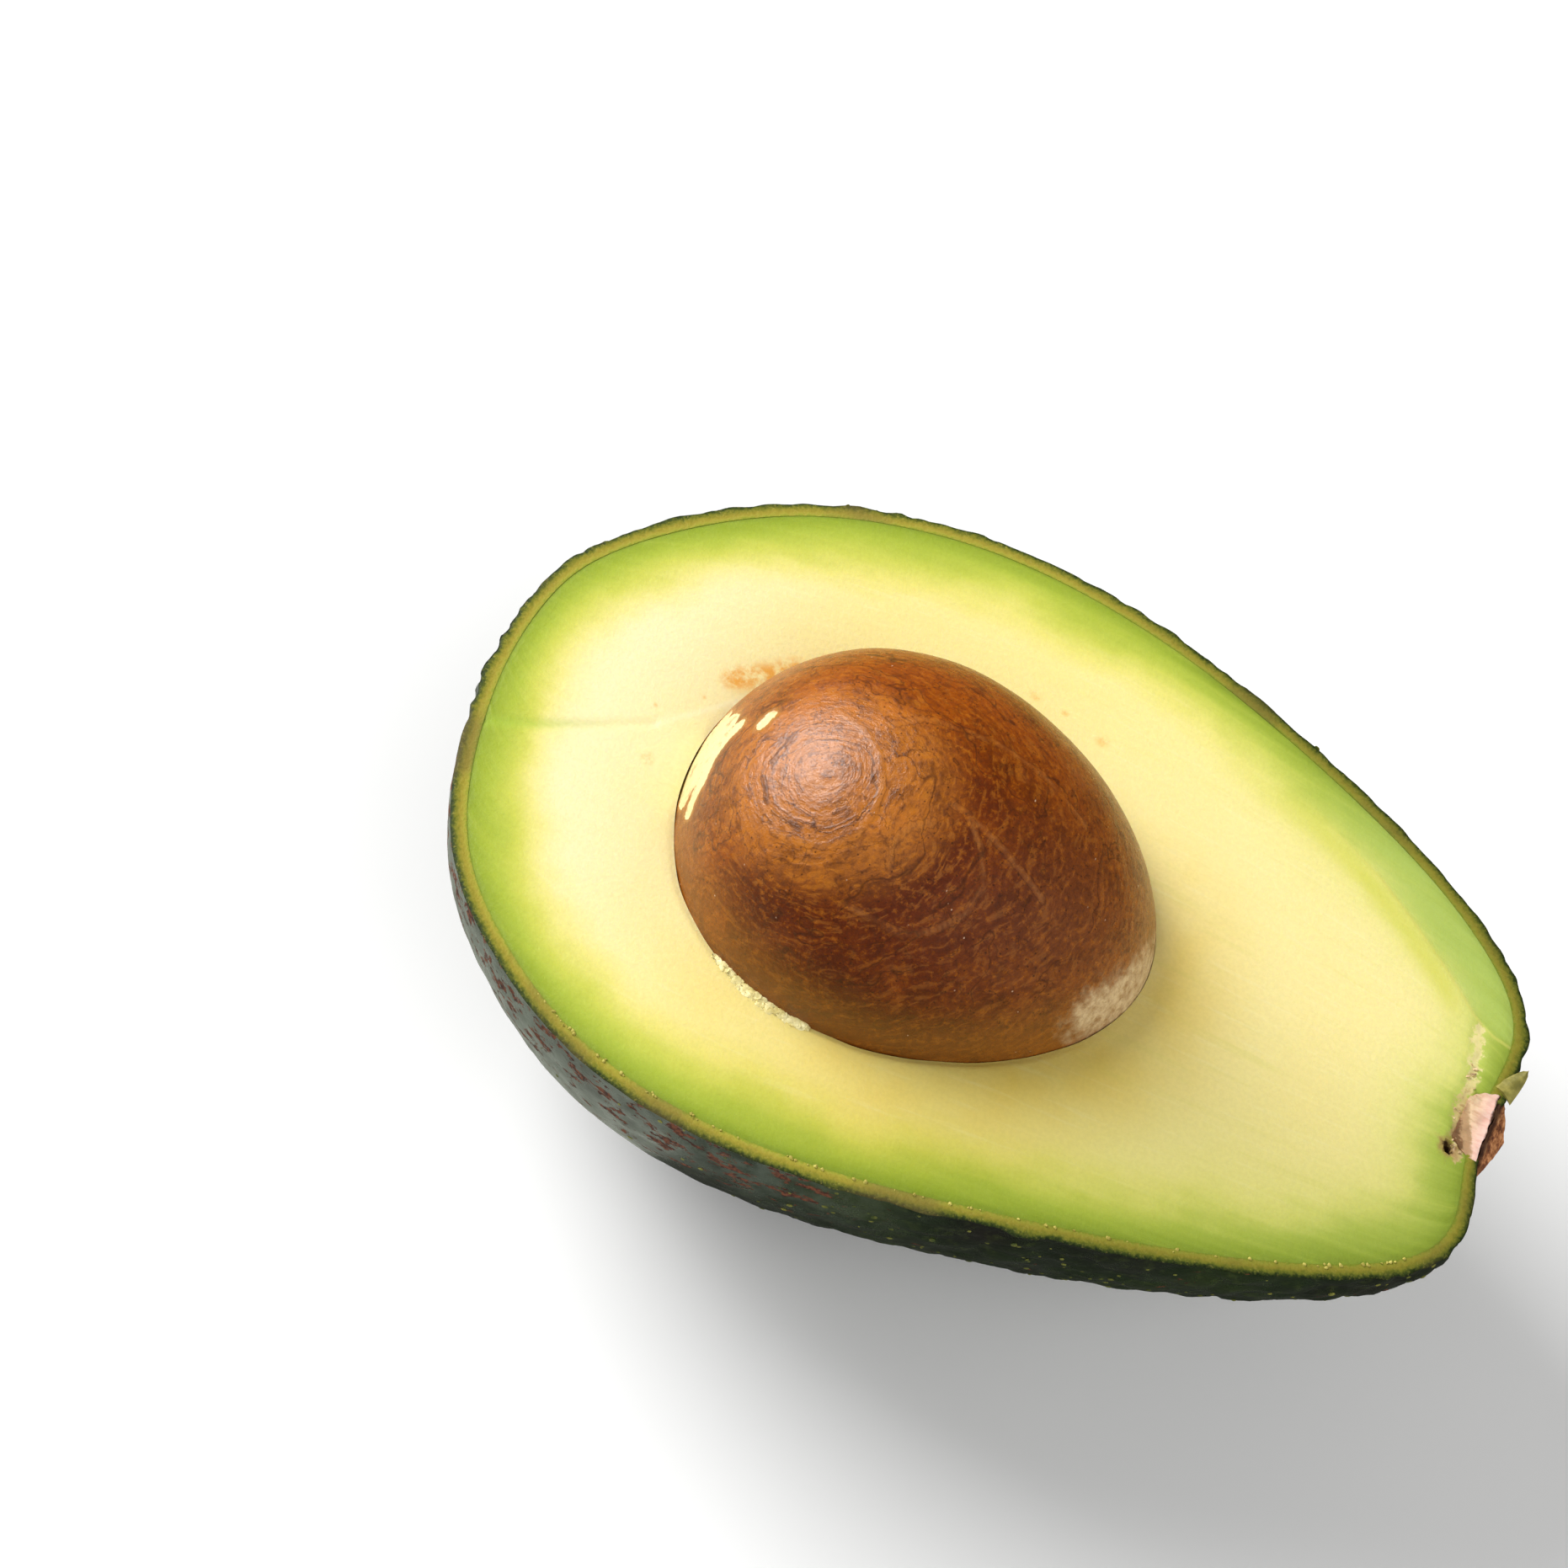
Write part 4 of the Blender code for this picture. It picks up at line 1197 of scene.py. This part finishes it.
# A flat strip that only serves to scatter points on
def ribbonAlong(name, path, width, height):
    path = np.asarray(path)
    along = np.gradient(path, axis=0)
    along /= np.linalg.norm(along, axis=1)[:, None]
    side = np.stack([along[:, 1], -along[:, 0]], axis=1) * (np.asarray(width) / 2)[:, None]
    points = np.concatenate([np.column_stack([path + side, height]), np.column_stack([path - side, height])])
    count = len(path)
    faces = [[i, i + 1, count + i + 1, count + i] for i in range(count - 1)]
    return makeMesh(name, points, faces, closed=False)


def buildScattered():
    made = []
    # corky lenticels over the back of the peel
    spots = newObject("lenticels", peelPiece.data.copy())
    material = speckMaterial("lenticelCork", (0.060, 0.085, 0.014), (0.25, 0.24, 0.035), 0.5)
    made.append(applyTree(spots, scatterTree("lenticels on peel", lenticels, False, material), lenticels))
    # crumbs of stone cells along the -Y side of the rim
    rim = outlineSides(fruit["peelThickness"] * 0.93, 500, crowding=0.0)[1]
    rim = rim[(rim[:, 0] > -30 * mm) & (rim[:, 0] < 52 * mm)]
    clumps = np.array([noise.noise(Vector((along / (1.3 * mm), 0.0, 0.0))) for along in rim[:, 0]])
    thinning = 0.05 * mm + 0.75 * mm * np.clip(clumps + 0.05, 0, 1)
    band = ribbonAlong("rim_crumbs", rim, thinning, np.full(len(rim), cutHeight + 0.02 * mm))
    material = speckMaterial("stoneCells", (0.36, 0.30, 0.045), (0.62, 0.55, 0.12), 0.6)
    made.append(applyTree(band, scatterTree("crumbs at the rim", crumbs, True, material), crumbs))
    # a torn lip of flesh at the low side of the seed
    angles = np.radians(np.linspace(232, 262, 40))
    directions = np.stack([np.cos(angles), np.sin(angles)], axis=1)
    lip = seedOutlineAt(directions, cutHeight, 0.35 * mm)
    width = 1.1 * mm * np.sin(np.linspace(0.15, math.pi - 0.15, len(lip)))
    band = ribbonAlong("torn_flesh", lip, width, np.full(len(lip), cutHeight - 0.12 * mm))
    material = speckMaterial("tornFlesh", (0.74, 0.62, 0.22), (0.93, 0.84, 0.44), 0.45)
    made.append(applyTree(band, scatterTree("torn flesh at the seed", tornFlesh, True, material), tornFlesh))
    # torn fibre beside the woody stub
    tear = groundPath(flesh["tear"][1:])
    travelled = np.concatenate([[0], np.cumsum(np.linalg.norm(np.diff(tear, axis=0), axis=1))])
    wanted = np.linspace(travelled[0], travelled[-1], 60)
    tear = np.stack([np.interp(wanted, travelled, tear[:, axis]) for axis in (0, 1)], axis=1)
    width = 0.35 * mm + 0.75 * mm * np.abs(np.sin(np.linspace(0.3, 8.0, len(tear))))
    band = ribbonAlong("torn_stem_fibre", tear, width, np.full(len(tear), cutHeight - 0.08 * mm))
    material = speckMaterial("stemFibre", (0.52, 0.34, 0.16), (0.78, 0.60, 0.34), 0.7)
    made.append(applyTree(band, scatterTree("torn fibre at the stem", tornStem, True, material), tornStem))
    return made


def buildFlake():
    # a leaf-shaped flake of peel that stands up beside the stem button
    rows, columns, thickness = 16, 8, 0.32 * mm
    points = []
    for side in (1, -1):
        for row in range(rows + 1):
            share = row / rows
            along = Vector((55.2, 2.8)).lerp(Vector((56.60, 5.75)), share) * mm
            across = Vector((-0.86, 0.52)) * (1.10 * (1 - share) ** 0.5 + 0.05) * mm
            lift = (0.10 + 0.75 * share ** 2) * mm
            for column in range(columns + 1):
                reach = 2 * column / columns - 1
                curl = 0.28 * mm * reach ** 2
                rough = noise.noise(Vector((along.x, along.y, reach * mm)) / (0.8 * mm)) * 0.10 * mm
                half = side * thickness / 2 * (1 - 0.6 * abs(reach))
                points.append((along.x + across.x * reach, along.y + across.y * reach,
                               cutHeight + lift - curl + rough + half))
    count = columns + 1
    index = np.arange(2 * (rows + 1) * count).reshape(2, rows + 1, count)
    faces = []
    for grid in index:
        quads = np.stack([grid[:-1, :-1], grid[:-1, 1:], grid[1:, 1:], grid[1:, :-1]], axis=-1)
        faces += quads.reshape(-1, 4).tolist()
    edge = [np.concatenate([grid[0, :-1], grid[:-1, -1], grid[-1, :0:-1], grid[:0:-1, 0]]) for grid in index]
    faces += loopFaces(edge[0], edge[1])
    thing = makeMesh("peel_flake", points, faces)
    thing.data.materials.append(speckMaterial("flakePeel", (0.19, 0.17, 0.030), (0.42, 0.36, 0.085), 0.55))
    return thing


print("scattered pieces")
scattered = buildScattered()
flakePiece = buildFlake()


studio = {
    "floorSize": 1.7, "floorFade": (330.0, 760.0),      # mm from the fruit
    "sky": 0.20, "backdrop": 0.95,
    # each lamp: place from the middle of the cut face, watts, width
    "lamps": {"key": ((-0.72, 0.24, 0.52), 11.8, 0.56), "fill": ((0.42, -0.50, 0.62), 3.5, 0.9),
              "side": ((0.90, 0.05, 0.38), 2.8, 0.9)},
    # lights at floor level that only gloss shows: place, width, brightness
    "lowGloss": {"low_left": ((-0.155, -0.060), 0.22, 0.64), "low_left_wide": ((-0.145, -0.060), 0.27, 0.64),
                 "low_all_round": ((0.0, 0.0), 1.6, 0.07)},
    "lowGlossColour": (0.96, 1.0, 0.86),
}
view = {
    "aimShare": 0.287,                  # along the fruit from the blossom end, on the cut face
    "azimuth": 1.5, "elevation": 57.4, "roll": 24.0, "distance": 0.3409, "lens": 85.7,
}


def buildStudio():
    size = studio["floorSize"] / 2
    floor = makeMesh("floor", [(-size, -size, 0), (size, -size, 0), (size, size, 0), (-size, size, 0)],
                     [[0, 1, 2, 3]], closed=False)
    material, tree, shader = newMaterial("paleFloor", 0.8, 0.2)
    where = objectMm(tree)
    tone = rampOf(tree, noiseAt(tree, where, 0.02), [(0.3, (0.94, 0.94, 0.93)), (0.7, (0.96, 0.96, 0.95))])
    # far from the fruit the floor fades into the white of the backdrop
    away = addNode(tree, "ShaderNodeVectorMath", {0: where}, operation="LENGTH").outputs["Value"]
    fading = remap(tree, away, *studio["floorFade"])
    tree.links.new(mixColour(tree, fading, tone, (0.0, 0.0, 0.0)), shader.inputs["Base Color"])
    shader.inputs["Emission Color"].default_value = (1, 1, 1, 1)
    tree.links.new(product(tree, fading, studio["backdrop"]), shader.inputs["Emission Strength"])
    floor.data.materials.append(material)
    floor.visible_glossy = False                # the low lights below stand in for it
    world = bpy.data.worlds.new("studio")
    world.use_nodes = True
    tree = world.node_tree
    background = tree.nodes["Background"]
    background.inputs["Color"].default_value = (1, 1, 1, 1)
    seen = addNode(tree, "ShaderNodeLightPath").outputs["Is Camera Ray"]
    strength = remap(tree, seen, 0.0, 1.0, studio["sky"], studio["backdrop"], smooth=False)
    tree.links.new(strength, background.inputs["Strength"])
    world.cycles_visibility.glossy = False      # soft light only, no milky veil on gloss
    bpy.context.scene.world = world
    target = Vector((0, 0, cutHeight))
    for name, (place, power, width) in studio["lamps"].items():
        data = bpy.data.lights.new(name, "AREA")
        data.energy = power
        data.size = width
        light = newObject(name, data)
        light.location = target + Vector(place)
        light.rotation_euler = (target - light.location).to_track_quat("-Z", "Y").to_euler()
        light.visible_glossy = name == "key"


def buildLowGloss():
    for name, (place, width, brightness) in studio["lowGloss"].items():
        data = bpy.data.lights.new(name, "AREA")
        data.shape = "DISK"
        data.size = width
        data.energy = brightness * (math.pi * width / 2) ** 2
        data.color = studio["lowGlossColour"]
        light = newObject(name, data)
        light.location = (*place, 1 * mm)
        light.rotation_euler = (math.pi, 0, 0)
        light.visible_diffuse = False
        light.visible_camera = False


def buildCamera():
    data = bpy.data.cameras.new("camera")
    data.lens = view["lens"]
    data.clip_start = 0.01
    camera = newObject("camera", data)
    azimuth, elevation, roll = (math.radians(view[name]) for name in ("azimuth", "elevation", "roll"))
    back = Vector((math.sin(azimuth) * math.cos(elevation), -math.cos(azimuth) * math.cos(elevation),
                   math.sin(elevation)))
    level = back.cross(Vector((0, 0, 1))).normalized() * -1
    upright = back.cross(level)
    right = math.cos(roll) * level + math.sin(roll) * upright
    up = back.cross(right)
    aim = Vector((skinLow.x + view["aimShare"] * fruitLength, 0, cutHeight))
    place = Matrix((right, up, back)).transposed().to_4x4()
    place.translation = aim + back * view["distance"]
    camera.matrix_world = place
    bpy.context.scene.camera = camera


print("studio")
buildStudio()
buildLowGloss()
buildCamera()
bpy.context.scene.view_settings.view_transform = "Standard"

# The four main pieces take the place of CAD nodes, and the small ones only ride along
for piece, node, slot in ((peelPiece, "skin", "peel"), (fleshPiece, "flesh", "flesh"),
                          (seedPiece, "seed", "stone"), (stemPiece, "stem_button", "stem")):
    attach(piece, "root")
    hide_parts(node)
for piece, slot in zip([*scattered, flakePiece], ("peel", "peel", "flesh", "stem", "peel")):
    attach(piece, "root")
